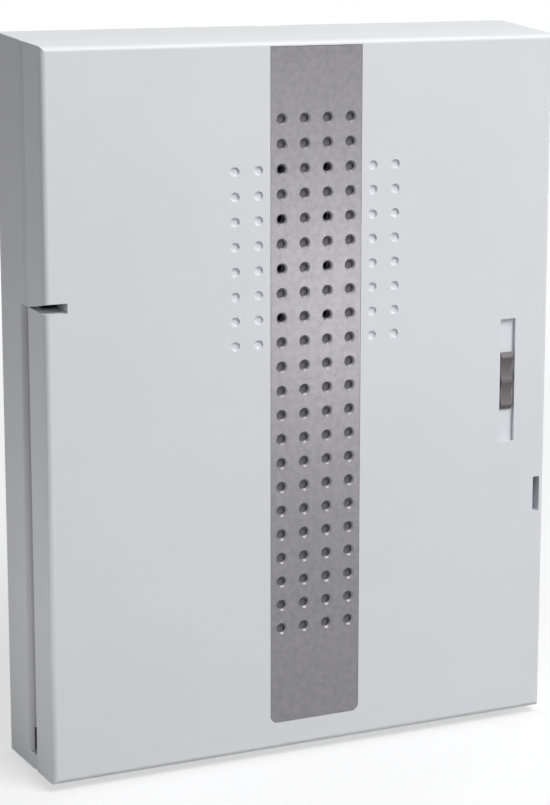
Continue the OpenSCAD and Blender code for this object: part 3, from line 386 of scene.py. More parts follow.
class Finish(NodeTree):
    """One procedural material, written from its nodes up. Places are in millimetres."""

    def __init__(self, name):
        self.material = bpy.data.materials.new(name)
        super().__init__(self.material)
        metres = self.node("ShaderNodeTexCoord").out("Object")
        self.place = self.vector("SCALE", metres, {"Scale": 1 / MM})
        parts = self.node("ShaderNodeSeparateXYZ", {}, {"Vector": self.place})
        self.x = parts.out("X")
        self.y = parts.out("Y")
        self.z = parts.out("Z")

    def vector(self, operation, first, others):
        """One Vector Math node."""
        return self.node("ShaderNodeVectorMath", {"operation": operation}, {0: first, **others})

    def mix(self, share, first, second):
        """Mixes two colours."""
        mixed = self.node("ShaderNodeMix", {"data_type": "RGBA"},
                          {0: share, 6: solid(first), 7: solid(second)})
        return Socket(self, mixed.socket.node.outputs[2])

    def clouded(self, noise, colour, dark, light):
        """A colour that drifts from a darker to a lighter form of itself with a noise."""
        return self.mix(noise.rise(0.3, 0.7), shade(colour, dark), shade(colour, light))

    def noise(self, scale, detail=2.0, roughness=0.5, across=None):
        """Soft noise: scale is in waves per millimetre, and across stretches each axis."""
        place = self.vector("MULTIPLY", self.place, {1: across}) if across else self.place
        return self.node("ShaderNodeTexNoise", {"noise_dimensions": "3D"},
                         {"Vector": place, "Scale": scale, "Detail": detail, "Roughness": roughness})

    def cells(self, scale):
        """Cell noise: the distance to the nearest of many points."""
        return self.node("ShaderNodeTexVoronoi", {"feature": "F1", "distance": "EUCLIDEAN"},
                         {"Vector": self.place, "Scale": scale})

    def chance(self, column, row):
        """A random value for each cell of a grid."""
        cell = self.node("ShaderNodeCombineXYZ", {}, {"X": column, "Y": row})
        return self.node("ShaderNodeTexWhiteNoise", {"noise_dimensions": "2D"}, {"Vector": cell})

    def bump(self, height, depth, strength):
        """Normal of a relief whose depth is in millimetres."""
        return self.node("ShaderNodeBump", {}, {"Height": height, "Strength": strength,
                                                "Distance": depth * MM})

    def surface(self, **sockets):
        """Closes the material with a Principled shader."""
        named = {key.replace("_", " ").title(): value for key, value in sockets.items()}
        shader = self.node("ShaderNodeBsdfPrincipled", {}, named)
        self.node("ShaderNodeOutputMaterial", {}, {"Surface": shader})
        return self.material


def solid(colour):
    """A colour with full alpha; links pass through."""
    return colour if isinstance(colour, Socket) else (*tuple(colour)[:3], 1.0)


def shade(colour, factor):
    """A lighter or darker form of a colour."""
    return tuple(min(1.0, part * factor) for part in tuple(colour)[:3])


def dress(material, *nodes):
    """Puts a material on solids."""
    for name in nodes:
        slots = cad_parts[name].material_slots
        if not slots:
            raise RuntimeError(f"{name} has no material slot")
        for slot in slots:
            slot.material = material


def settings():
    """The chime's settings in the scene."""
    return bpy.context.scene.chime


def painted_groove_shade(f):
    """Where painted shade darkens the groove of the left side, below the notch."""
    side = box_mm("base_tray")[0].x
    along = (f.z < GROOVE_TOP) * (f.z > GROOVE_LOW)
    return (0 - f.y).rise(PAINTED_SHADE_START, PAINTED_SHADE_FULL) * (f.x < side + PAINTED_SHADE_REACH) * along


def moulded(name, colour, roughness, relief=0.012, grain=2.6, groove_shade_colour=None):
    """Moulded plastic with an eroded grain and slight clouds, and, if a colour is given, painted shade of
    that colour in the groove of the left side.
    """
    f = Finish(name)
    cloud = f.noise(0.025, detail=3.0).rise(0.3, 0.7)
    spark = f.noise(grain, detail=3.0, roughness=0.6)
    base = f.mix(cloud, shade(colour, 0.985), shade(colour, 1.012))
    base = f.mix(spark.rise(0.25, 0.75) * 0.3, base, shade(colour, 0.965))
    if groove_shade_colour:
        # Painted shade: the groove of the left side is darkened towards the given colour.
        base = f.mix(painted_groove_shade(f) * PAINTED_SHADE_SHARE, base, groove_shade_colour)
    rough = roughness + (spark - 0.5) * 0.10 + (cloud - 0.5) * 0.04
    return f.surface(base_color=base, roughness=rough, normal=f.bump(spark, relief, 0.5))


def strip_paint(colours):
    """Silver paint on the face and the rims of the holes, bare dark plastic inside them."""
    f = Finish("strip_silver_paint")
    depth = f.y - box_mm("grille_strip")[0].y
    bare = depth.rise(PAINT_THINS, PAINT_ENDS)
    flake = f.noise(5.0, detail=2.0, roughness=0.7)
    mottle = f.noise(0.55, detail=4.0, roughness=0.6)
    silver = f.clouded(mottle, colours.strip, 0.90, 1.09)
    silver = f.mix(flake.rise(0.35, 0.75) * 0.35, silver, shade(colours.strip, 1.30))
    base = f.mix(bare, silver, colours.strip_body)
    painted = 1 - bare
    sunk = depth.rise(0.02, 0.12)
    rough = 0.33 + sunk * 0.17 + bare * 0.10 + (flake - 0.5) * 0.12
    return f.surface(base_color=base, metallic=painted * 0.75, roughness=rough,
                     normal=f.bump(flake, 0.006, 0.6))


def plated(name, colour, roughness, brush):
    """Plated steel with a grain drawn along one axis and faint clouds in the plating."""
    f = Finish(name)
    grain = f.noise(1.0, detail=4.0, roughness=0.7, across=brush)
    cloud = f.noise(0.35, detail=3.0)
    base = f.clouded(cloud, colour, 0.86, 1.08)
    rough = roughness + (grain - 0.5) * 0.22 + (cloud - 0.5) * 0.10
    return f.surface(base_color=base, metallic=1.0, roughness=rough, normal=f.bump(grain, 0.004, 0.5))


def off_middle(value, cell):
    """How far a place is from the middle of its cell of the board's grid."""
    return (value / GRID - cell - 0.5) * GRID


def tracks(f, along, across):
    """Copper tracks on the grid of the legs, each broken off at random."""
    row = (across / GRID).floor()
    stretch = ((along + row * TRACK_STAGGER) / TRACK_STRETCH).floor()
    drawn = f.chance(row, stretch) > 1 - TRACK_CHANCE
    return drawn * (abs(off_middle(across, row)) < TRACK_HALF)


def pads(f):
    """Round pads at some points of the grid."""
    column = (f.x / GRID).floor()
    row = (f.z / GRID).floor()
    from_middle = distance(off_middle(f.x, column), off_middle(f.z, row))
    return (f.chance(column, row) > 1 - PAD_CHANCE) * (from_middle < PAD_RADIUS)


def printed_ring(f, node):
    """A printed line around a part of the board."""
    mid = middle_mm(node)
    half = box_mm(node)[1] - mid
    edge = (abs(f.x - mid.x) - half.x).larger(abs(f.z - mid.z) - half.z)
    return abs(edge - PRINT_GAP) < PRINT_HALF


def board_mask(colours, outlined):
    """Solder mask over copper tracks, with printed outlines around the parts."""
    f = Finish("board_solder_mask")
    low, high = box_mm("circuit_board")
    copper = tracks(f, f.x, f.z).larger(tracks(f, f.z, f.x)).larger(pads(f))
    glass = (f.x * 9.0).sine() * (f.z * 9.0).sine()
    base = f.mix(copper, colours.board, colours.copper)
    base = f.mix(glass.rise(-1.0, 1.0) * 0.18, base, shade(colours.board, 1.8))
    line = printed_ring(f, outlined[0])
    for node in outlined[1:]:
        line = line.larger(printed_ring(f, node))
    line = line * (f.y < low.y + PRINT_DEPTH)
    base = f.mix(line, base, colours.legend)
    from_edge = (f.x - low.x).smaller(high.x - f.x).smaller((f.z - low.z).smaller(high.z - f.z))
    base = f.mix(from_edge < CUT_EDGE, base, colours.board_edge)
    relief = copper * 0.6 + line * 0.5 + glass * 0.06
    return f.surface(base_color=base, roughness=0.30 + glass * 0.03 + line * 0.25,
                     normal=f.bump(relief, 0.05, 0.8))


def chip_epoxy(node, colours):
    """Black moulding with a dot at one corner and tinned legs outside it."""
    f = Finish(node + "_epoxy")
    low, high = box_mm(node)
    mid = (low + high) / 2
    half = CHIP_BODY / 2
    grain = f.noise(3.5, detail=3.0, roughness=0.65)
    leg = abs(f.x - mid.x) > half + 0.01
    from_dot = distance(f.x - (mid.x - half + DOT_FROM_SIDE), f.z - (high.z - DOT_FROM_END))
    dot = (from_dot < DOT_RADIUS) * (f.y < low.y + PRINT_DEPTH)
    base = f.clouded(grain, colours.chip, 0.8, 1.35)
    base = f.mix(dot, base, colours.chip_dot)
    base = f.mix(leg, base, colours.tin)
    rough = 0.55 + (grain - 0.5) * 0.2 - leg * 0.22
    return f.surface(base_color=base, metallic=leg, roughness=rough, normal=f.bump(grain, 0.010, 0.5))


def can_sleeve(node, colours):
    """Shrunk sleeve with a plain stripe and a bare metal top, whose scored cross gets painted shade."""
    f = Finish(node + "_sleeve")
    mid = middle_mm(node)
    radius = radius_mm(node)
    wrinkle = f.noise(0.8, detail=3.0, across=(1, 3, 1))
    dx = f.x - mid.x
    dz = f.z - mid.z
    stripe = (dx / radius < -0.62) * (abs(dz) < radius)
    bare = (distance(dx, dz) < radius - CAN_RIM) * (f.y < box_mm(node)[0].y + CAN_TOP)
    score = (abs(dx) < SCORE_HALF).larger(abs(dz) < SCORE_HALF) * bare
    base = f.clouded(wrinkle, colours.sleeve, 0.85, 1.2)
    base = f.mix(stripe, base, colours.stripe)
    base = f.mix(bare, base, colours.can)
    # Painted shade in the scored cross of the top.
    base = f.mix(score, base, colours.score_shade_colour)
    rough = 0.28 + (wrinkle - 0.5) * 0.2
    return f.surface(base_color=base, metallic=bare, roughness=rough,
                     normal=f.bump(wrinkle - score, 0.03, 0.4))


def resistor_lacquer(colours):
    """Lacquered bodies with colour rings and tinned wires."""
    f = Finish("resistor_lacquer")
    along = f.x - middle_mm("resistors").x
    number = (f.z / RESISTOR_PITCH).floor()
    hue = f.node("ShaderNodeTexWhiteNoise", {"noise_dimensions": "1D"}, {"W": number})
    base = f.clouded(f.noise(1.2), colours.resistor, 0.9, 1.1)
    for place, one, other in RINGS:
        ring = abs(along - place) < RING_HALF
        base = f.mix(ring, base, f.mix(hue > 0.5, one, other))
    wire = abs(along) > RESISTOR_HALF
    base = f.mix(wire, base, colours.tin)
    return f.surface(base_color=base, metallic=wire, roughness=0.35 + f.noise(2.0) * 0.1,
                     normal=f.bump(f.noise(1.5), 0.02, 0.4))


def sintered(colours):
    """Pressed and ground ferrite."""
    f = Finish("ferrite_sintered")
    grain = f.noise(2.2, detail=5.0, roughness=0.7)
    pit = f.cells(0.8).rise(0.0, 0.22)
    base = f.clouded(grain, colours.ferrite, 0.75, 1.3)
    return f.surface(base_color=base, roughness=0.62 + (grain - 0.5) * 0.25,
                     normal=f.bump(grain * 0.6 + pit, 0.03, 0.6))


def weave(name, colour, pitch, roughness, depth):
    """Plain weave of two sets of threads."""
    f = Finish(name)
    turn = 2 * math.pi / pitch
    thread = (f.x * turn).sine() * (f.z * turn).sine()
    fuzz = f.noise(3.0, detail=3.0)
    base = f.mix(thread.rise(-1.0, 1.0), shade(colour, 0.72), shade(colour, 1.15))
    base = f.mix(fuzz.rise(0.35, 0.75) * 0.3, base, shade(colour, 1.3))
    return f.surface(base_color=base, roughness=roughness + (fuzz - 0.5) * 0.15,
                     normal=f.bump(thread + fuzz * 0.4, depth, 0.7))


def pressed_fibre(name, node, colour):
    """Pressed paper with fibres and faint rings from its felting."""
    f = Finish(name)
    mid = middle_mm(node)
    fibre = f.noise(1.6, detail=6.0, roughness=0.75)
    ring = (distance(f.x - mid.x, f.z - mid.z) * 4.2).sine()
    base = f.clouded(fibre, colour, 0.7, 1.4)
    return f.surface(base_color=base, roughness=0.82 + (fibre - 0.5) * 0.2,
                     normal=f.bump(fibre + ring * 0.12, 0.06, 0.6))


def winding(colours):
    """Enamelled wire on the rear part of the former, brown paper in front of it. The wire has painted
    shade between its turns and painted light on them.
    """
    f = Finish("coil_winding")
    wound = f.y > box_mm("voice_coil")[1].y - WINDING
    turn = (f.y * (2 * math.pi / WIRE)).sine()
    paper = f.mix(f.noise(1.5, detail=4.0), colours.former_dark, colours.former_light)
    # Painted shade between the turns of wire and painted light on their crowns.
    wire = f.mix(turn.rise(-1.0, 1.0), shade(colours.coil, 0.6), shade(colours.coil, 1.15))
    return f.surface(base_color=f.mix(wound, paper, wire), metallic=wound * 0.7,
                     roughness=0.55 - wound * 0.25, normal=f.bump(turn * wound, 0.05, 0.6))


def foam(colours):
    """Closed-cell foam."""
    f = Finish("gasket_foam")
    cell = f.cells(2.2)
    base = f.mix(cell.rise(0.1, 0.6), shade(colours.foam, 1.5), shade(colours.foam, 0.6))
    return f.surface(base_color=base, roughness=0.85 + (cell - 0.3) * 0.2,
                     normal=f.bump(cell, 0.08, 0.7))


def tag_strip(colours):
    """Hard paper with two tinned tags on its outer side."""
    f = Finish("tag_strip")
    layer = f.noise(1.4, detail=4.0, across=(4, 0.4, 0.4))
    tag = f.x > box_mm("speaker_tags")[1].x - TAG
    base = f.clouded(layer, colours.hard_paper, 0.8, 1.2)
    base = f.mix(tag, base, colours.tin)
    return f.surface(base_color=base, metallic=tag, roughness=0.5 - tag * 0.15 + (layer - 0.5) * 0.2,
                     normal=f.bump(layer, 0.02, 0.4))


def cell_jacket(colours):
    """Plain printed jacket with a band at the plus end and bare steel ends."""
    f = Finish("cell_jacket")
    low, high = box_mm("battery_cells")
    mid = (low + high) / 2
    cell_length = (high.x - low.x - ROW_SHIFT) / 2
    upper = f.z > mid.z
    along_upper = f.x - low.x
    along_lower = high.x - f.x
    along = along_lower + (along_upper - along_lower) * upper
    from_plus = along.maths("MODULO", cell_length)
    from_axis = abs(f.z - mid.z) - (high.z - low.z - CELL_WIDTH) / 2
    end = distance(from_axis, f.y - mid.y) < CELL_END
    band = (from_plus < CELL_BAND).larger(abs(from_plus - CELL_LINE) < LINE_HALF)
    ink = f.noise(1.2, detail=3.0)
    base = f.clouded(ink, colours.cell, 0.9, 1.12)
    base = f.mix(band, base, colours.cell_band)
    base = f.mix(end, base, colours.cell_end)
    return f.surface(base_color=base, metallic=0.55 + end * 0.45, roughness=0.30 + (ink - 0.5) * 0.16,
                     normal=f.bump(ink, 0.01, 0.4), coat_weight=0.25, coat_roughness=0.2)


def insulation(name, colour):
    """Extruded insulation with a slightly uneven skin."""
    f = Finish(name)
    skin = f.noise(0.9, detail=3.0)
    fine = f.noise(4.0, detail=2.0)
    base = f.clouded(skin, colour, 0.85, 1.15)
    return f.surface(base_color=base, roughness=0.42 + (skin - 0.5) * 0.15,
                     normal=f.bump(skin + fine * 0.3, 0.02, 0.5))


def solder_metal(colours):
    """Solder that froze with a faint grain."""
    f = Finish("solder_metal")
    grain = f.noise(2.4, detail=4.0)
    base = f.clouded(grain, colours.tin, 0.85, 1.15)
    return f.surface(base_color=base, metallic=1.0, roughness=0.28 + (grain - 0.5) * 0.2,
                     normal=f.bump(grain, 0.03, 0.4))


class CHIME_OT_housing(bpy.types.Operator):
    """Finishes of the base, cover, strip and volume slider"""
    bl_idname = "chime.housing"
    bl_label = "Housing finishes"

    def execute(self, context):
        colours = settings().colours
        dress(moulded("cover_white_plastic", colours.cover, 0.46), "front_cover", "slider_shutter")
        # The base tray gets painted shade in the groove of its left side.
        dress(moulded("base_white_plastic", colours.base, 0.50, groove_shade_colour=colours.groove_shade_colour), "base_tray")
        dress(strip_paint(colours), "grille_strip")
        dress(moulded("knob_grey_plastic", colours.knob, 0.48, 0.015, 3.4), "volume_knob", "melody_knob")
        return {"FINISHED"}


class CHIME_OT_speaker(bpy.types.Operator):
    """Finishes of the loudspeaker's hard pieces"""
    bl_idname = "chime.speaker"
    bl_label = "Loudspeaker finishes"

    def execute(self, context):
        colours = settings().colours
        dress(plated("basket_zinc", colours.zinc, 0.36, (0.4, 0.4, 0.4)), "speaker_basket")
        dress(plated("pole_steel", shade(colours.zinc, 0.9), 0.32, (0.3, 2.0, 0.3)),
              "speaker_yoke", "speaker_top_plate")
        dress(sintered(colours), "speaker_magnet")
        dress(pressed_fibre("cone_fibre", "speaker_cone", colours.cone), "speaker_cone")
        dress(pressed_fibre("cap_fibre", "speaker_dust_cap", shade(colours.cone, 0.7)), "speaker_dust_cap")
        dress(winding(colours), "voice_coil")
        dress(tag_strip(colours), "speaker_tags")
        return {"FINISHED"}


class CHIME_OT_board(bpy.types.Operator):
    """Finishes of the circuit board and its parts"""
    bl_idname = "chime.board"
    bl_label = "Board finishes"

    def execute(self, context):
        colours = settings().colours
        outlined = ("sound_chip", "amplifier_chip", "volume_pot_body", "melody_switch_body",
                    "terminal_block", "bridge_rectifier", "smoothing_capacitor")
        dress(board_mask(colours, outlined), "circuit_board")
        for node in ("sound_chip", "amplifier_chip"):
            dress(chip_epoxy(node, colours), node)
        dress(moulded("rectifier_epoxy", colours.chip, 0.5, 0.012, 3.0), "bridge_rectifier")
        for node in ("smoothing_capacitor", "coupling_capacitor"):
            dress(can_sleeve(node, colours), node)
        dress(resistor_lacquer(colours), "resistors")
        dress(plated("pot_shell_tin", colours.tin, 0.34, (6.0, 1.0, 0.05)), "volume_pot_body",
              "melody_switch_body")
        dress(moulded("terminal_plastic", colours.terminal, 0.45), "terminal_block")
        dress(plated("screw_zinc", colours.zinc, 0.28, (1.0, 1.0, 1.0)), "terminal_screws", "board_screws",
              "speaker_screws", "pot_lever")
        return {"FINISHED"}


class CHIME_OT_battery(bpy.types.Operator):
    """Finishes of the cells and their contacts"""
    bl_idname = "chime.battery"
    bl_label = "Battery finishes"

    def execute(self, context):
        colours = settings().colours
        dress(cell_jacket(colours), "battery_cells")
        dress(plated("contact_nickel", colours.nickel, 0.26, (1.0, 5.0, 0.08)), "contact_plus",
              "contact_minus", "contact_bridge")
        return {"FINISHED"}


def deselect():
    """Clears the selection, so that an operator acts on the new piece alone."""
    if bpy.context.object and bpy.context.object.mode != "OBJECT":
        bpy.ops.object.mode_set(mode="OBJECT")
    bpy.ops.object.select_all(action="DESELECT")


def joined(name, parts):
    """Joins meshes into one piece under a new name."""
    deselect()
    for part in parts:
        part.select_set(True)
    bpy.context.view_layer.objects.active = parts[0]
    bpy.ops.object.join()
    piece = bpy.context.object
    piece.name = name
    piece.data.name = name
    return piece


def face_outwards():
    """Turns every face of the active mesh outwards."""
    bpy.ops.object.mode_set(mode="EDIT")
    bpy.ops.mesh.select_all(action="SELECT")
    bpy.ops.mesh.normals_make_consistent(inside=False)
    bpy.ops.object.mode_set(mode="OBJECT")


def seat(piece, body, slot, *replaced):
    """Ties a piece to its body and hides the solids that it stands for. The slot is not used."""
    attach(piece, body)
    if replaced:
        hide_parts(*replaced)


def lead_pads():
    """Where leads meet the board, in x and z: plus, minus and the loudspeaker's two."""
    board = box_mm("circuit_board")[0]
    row = board.z + LEAD_INSET
    plus = middle_mm("sound_chip").x
    side = board.x + PAIR_INSET
    pair = middle_mm("coupling_capacitor").z
    return ((plus, row), (plus + LEAD_GAP, row), (side, pair - PAIR_HALF), (side, pair + PAIR_HALF))


def landing(pad):
    """Last points of a battery lead: over the board's edge and straight down on its pad."""
    x, z = pad
    board = box_mm("circuit_board")[0]
    return [(x, board.y - 4, board.z + 0.4), (x, board.y - 2, z), (x, board.y, z)]


def plus_route():
    """Route of the plus lead: down to the floor of the base, along it and up on the board."""
    board = box_mm("circuit_board")[0]
    contact = box_mm("contact_plus")[1]
    cell_y = middle_mm("battery_cells").y
    start = contact.x - 1.2
    z = contact.z - 1.6
    pad = lead_pads()[0]
    return [(start, cell_y, z), (start + 2, cell_y, z), (start + 6, cell_y + 5, z),
            (start + 11, LEAD_Y - 1.5, z), (start + 20, LEAD_Y, z), (-8, LEAD_Y, z), (20, LEAD_Y, z),
            (pad[0] - 8, LEAD_Y - 0.8, z), (pad[0] - 1, board.y - 1, board.z - 2)] + landing(pad)


def minus_route():
    """Route of the minus lead: up beside the cells, along the floor and up on the board."""
    board = box_mm("circuit_board")[0]
    cell_y = middle_mm("battery_cells").y
    wall = box_mm("contact_minus")[0].x
    row = middle_mm("contact_minus").z
    side = wall - 3.2
    z = box_mm("contact_plus")[1].z + 0.6
    pad = lead_pads()[1]
    return [(wall, cell_y, row), (wall - 1.2, cell_y, row), (side, cell_y + 2, row + 2.5),
            (side, cell_y + 7, row + 7), (side, LEAD_Y - 1.5, row + 14), (side, LEAD_Y, row + 22),
            (side, LEAD_Y, row + 37), (side + 1.5, LEAD_Y, z - 3), (side + 9, LEAD_Y, z),
            (-12, LEAD_Y, z), (20, LEAD_Y, z), (pad[0] - 9, LEAD_Y - 0.8, z),
            (pad[0] - 1, board.y - 1.4, board.z - 1.8)] + landing(pad)


def speaker_route(side, pad):
    """Route of one of the loudspeaker's leads: from its tag on one side across to the board."""
    board = box_mm("circuit_board")[0]
    low, high = box_mm("speaker_tags")
    y = low.y + 5.5
    z = middle_mm("speaker_tags").z + side * PAIR_HALF
    x, end = pad
    return [(high.x, y, z), (high.x + 1.6, y, z), (board.x - 0.6, y + 2.5, (z + end) / 2),
            (x - 0.2, board.y - 5, end), (x, board.y - 1.5, end), (x, board.y, end)]


def lead_tube(name, route, material):
    """One lead as a round tube along a smooth route, as a mesh at the origin."""
    sizes = settings().sizes
    deselect()
    bpy.ops.curve.primitive_bezier_curve_add(location=(0, 0, 0))
    tube = bpy.context.object
    tube.name = name
    spline = tube.data.splines[0]
    spline.bezier_points.add(len(route) - 2)
    for knot, place in zip(spline.bezier_points, route):
        knot.co = Vector(place) * MM
        knot.handle_left_type = "AUTO"
        knot.handle_right_type = "AUTO"
    tube.data.dimensions = "3D"
    tube.data.resolution_u = 8
    tube.data.bevel_depth = sizes.lead_radius
    tube.data.bevel_resolution = sizes.lead_sides
    tube.data.use_fill_caps = True
    bpy.ops.object.convert(target="MESH")
    tube = bpy.context.object
    bpy.ops.object.shade_smooth_by_angle(angle=math.radians(50))
    tube.data.materials.append(material)
    return tube


class CHIME_OT_leads(bpy.types.Operator):
    """Round leads from the battery and the loudspeaker to the board"""
    bl_idname = "chime.leads"
    bl_label = "Leads"

    def execute(self, context):
        colours = settings().colours
        red = insulation("lead_red_insulation", colours.lead_red)
        black = insulation("lead_black_insulation", colours.lead_black)
        seat(lead_tube("plus_lead", plus_route(), red), "base", "lead_red", "battery_lead_red")
        seat(lead_tube("minus_lead", minus_route(), black), "base", "lead_black", "battery_lead_black")
        lower, upper = lead_pads()[2:]
        pair = [lead_tube("speaker_lead", speaker_route(-1, lower), black),
                lead_tube("speaker_lead", speaker_route(1, upper), red)]
        seat(joined("speaker_lead_pair", pair), "base", "lead_red", "speaker_leads")
        return {"FINISHED"}


def turned(name, profile, node, material, thickness=0.0):
    """A ring turned about the axis of a node. The profile gives radius and y in millimetres.

    With a thickness it is an open line that becomes a sheet, without one a closed outline.
    """
    mid = middle_mm(node)
    deselect()
    bpy.ops.curve.primitive_bezier_curve_add(location=(mid.x * MM, 0, mid.z * MM))
    ring = bpy.context.object
    ring.name = name
    ring.data.splines.clear()
    line = ring.data.splines.new("POLY")
    line.points.add(len(profile) - 1)
    for point, (radius, y) in zip(line.points, profile):
        point.co = (radius * MM, y * MM, 0, 1)
    line.use_cyclic_u = not thickness
    ring.data.dimensions = "3D"
    bpy.ops.object.convert(target="MESH")
    ring = bpy.context.object
    ring.data.name = name
    bpy.ops.object.modifier_add(type="SCREW")
    screw = ring.modifiers[-1]
    screw.axis = "Y"
    screw.steps = TURN_STEPS
    screw.render_steps = TURN_STEPS
    screw.use_merge_vertices = True
    screw.merge_threshold = 0.01 * MM
    bpy.ops.object.modifier_apply(modifier=screw.name)
    if thickness:
        bpy.ops.object.modifier_add(type="SOLIDIFY")
        sheet = ring.modifiers[-1]
        sheet.thickness = thickness * MM
        sheet.offset = 0.0
        bpy.ops.object.modifier_apply(modifier=sheet.name)
    face_outwards()
    bpy.ops.object.transform_apply(location=True, rotation=True, scale=True)
    bpy.ops.object.shade_smooth_by_angle(angle=math.radians(50))
    ring.data.materials.append(material)
    return ring


def half_turn(centre, level, radius, side, steps=12):
    """Points of half a circle, which bulges to one side of a level."""
    angles = [math.pi * (1 - i / steps) for i in range(steps + 1)]
    return [(centre + radius * math.cos(a), level + side * radius * math.sin(a)) for a in angles]


def surround(sizes, colours):
    """Cloth with two rolls between basket and cone. Its rim is glued to the cone and moves with it."""
    low, high = box_mm("speaker_surround")
    level = (low.y + high.y) / 2
    height = high.y - low.y
    outer = radius_mm("speaker_surround")
    inner = radius_mm("speaker_cone") - GLUE_LAP
    cloth = sizes.cloth_thickness / MM
    sheet = cloth * 0.9
    flat = level - cloth / 2
    roll = (height - cloth) / 2
    margin = outer - inner - GLUE_LAP - 2 * height - ROLL_SPARE
    second = outer - margin - roll - cloth / 2
    first = second - 2 * roll
    edge = first - roll
    material = weave("surround_weave", colours.surround, 0.45, 0.62, 0.05)
    profile = [(edge, level + sizes.skirt / MM)]
    profile += half_turn(first, level, roll, -1)
    profile += half_turn(second, level, roll, 1)[1:]
    profile += [(second + roll + ROLL_FOOT, flat), (outer, flat)]
    ring = turned("surround_cloth_ring", profile, "speaker_surround", material, sheet)
    seat(ring, "base", "surround_cloth", "speaker_surround")
    profile = [(inner, flat), (edge - sheet / 2 - SLIT, flat)]
    ring = turned("surround_glued_ring", profile, "speaker_surround", material, sheet)
    seat(ring, "cone", "surround_cloth")


def spider(sizes, colours):
    """Waved cloth between basket and coil. Its collar is glued to the coil and moves with it."""
    low, high = box_mm("speaker_spider")
    inner = radius_mm("voice_coil") + COIL_GAP
    reach = radius_mm("speaker_spider") - inner
    collar = sizes.collar_width / MM
    start = collar + SLIT
    sheet = sizes.cloth_thickness / MM * 0.8
    wave = (high.y - low.y - sheet) / 2
    flat = high.y - sheet / 2
    material = weave("spider_weave", colours.spider, 0.7, 0.8, 0.08)
    profile = []
    for i in range(SPIDER_STEPS + 1):
        share = i / SPIDER_STEPS
        swing = math.cos(2 * math.pi * SPIDER_WAVES * share)
        profile.append((inner + start + (reach - start) * share, flat - wave * (1 - swing)))
    disc = turned("spider_cloth_disc", profile, "speaker_spider", material, sheet)
    seat(disc, "base", "spider_cloth", "speaker_spider")
    profile = [(inner, flat), (inner + collar, flat)]
    disc = turned("spider_glued_collar", profile, "speaker_spider", material, sheet)
    seat(disc, "cone", "spider_cloth")


def gasket(colours):
    """Foam ring with rounded edges on the front of the basket."""
    low, high = box_mm("speaker_gasket")
    rim = radius_mm("speaker_gasket")
    hole = radius_mm("speaker_surround") + GASKET_GAP
    edge = GASKET_EDGE
    bend = GASKET_BEND
    profile = [(hole, high.y), (hole, low.y + edge), (hole + bend, low.y + bend), (hole + edge, low.y),
               (rim - edge, low.y), (rim - bend, low.y + bend), (rim, low.y + edge), (rim, high.y)]
    ring = turned("gasket_foam_ring", profile, "speaker_gasket", foam(colours))
    seat(ring, "base", "gasket_foam", "speaker_gasket")


class CHIME_OT_soft(bpy.types.Operator):
    """Cloth and foam rings of the loudspeaker"""
    bl_idname = "chime.soft"
    bl_label = "Loudspeaker cloth and foam"

    def execute(self, context):
        sizes = settings().sizes
        colours = settings().colours
        surround(sizes, colours)
        spider(sizes, colours)
        gasket(colours)
        return {"FINISHED"}


def solder_places():
    """Where legs and leads are soldered to the front of the board, in x and z."""
    places = []
    for node, count in (("sound_chip", 8), ("amplifier_chip", 4)):
        low, high = box_mm(node)
        mid = (low + high) / 2
        for i in range(count):
            z = mid.z + (i - (count - 1) / 2) * GRID
            places += [(low.x + LEG_END, z), (high.x - LEG_END, z)]
    chip_low, chip_high = box_mm("sound_chip")
    below = [chip_low.z - RESISTOR_GAP - (i + 0.5) * RESISTOR_PITCH for i in range(3)]
    above = [chip_high.z + RESISTOR_GAP + (i + 0.5) * RESISTOR_PITCH for i in range(2)]
    low, high = box_mm("resistors")
    for z in below + above:
        places += [(low.x + WIRE_END, z), (high.x - WIRE_END, z)]
    return places + list(lead_pads())


def fillet_shape(sizes):
    """One fillet of solder: a disc that is drawn out in steps, each smaller than the last."""
    deselect()
    bpy.ops.mesh.primitive_circle_add(vertices=14, radius=sizes.fillet_radius, fill_type="NGON",
                                      location=(0, 0, 0), rotation=(math.pi / 2, 0, 0))
    fillet = bpy.context.object
    bpy.ops.object.transform_apply(location=True, rotation=True, scale=True)
    bpy.ops.object.mode_set(mode="EDIT")
    bpy.ops.mesh.select_all(action="SELECT")
    for share, height in ((0.68, 0.22), (0.70, 0.36), (0.72, 0.42)):
        bpy.ops.mesh.extrude_region_move(
            TRANSFORM_OT_translate={"value": (0, -height * sizes.fillet_height, 0)})
        bpy.ops.transform.resize(value=(share, 1, share))
    face_outwards()
    bpy.ops.object.shade_smooth_by_angle(angle=math.radians(60))
    return fillet


class CHIME_OT_solder(bpy.types.Operator):
    """Solder fillets where legs and leads meet the board"""
    bl_idname = "chime.solder"
    bl_label = "Solder fillets"

    def execute(self, context):
        front = box_mm("circuit_board")[0].y
        fillet = fillet_shape(settings().sizes)
        copies = []
        for x, z in solder_places():
            copy = fillet.copy()
            copy.data = fillet.data.copy()
            copy.data.transform(Matrix.Translation(Vector((x, front, z)) * MM))
            bpy.context.scene.collection.objects.link(copy)
            copies.append(copy)
        bpy.data.objects.remove(fillet)
        piece = joined("solder_fillets", copies)
        piece.data.materials.append(solder_metal(settings().colours))
        seat(piece, "base", "pot_shell")
        return {"FINISHED"}


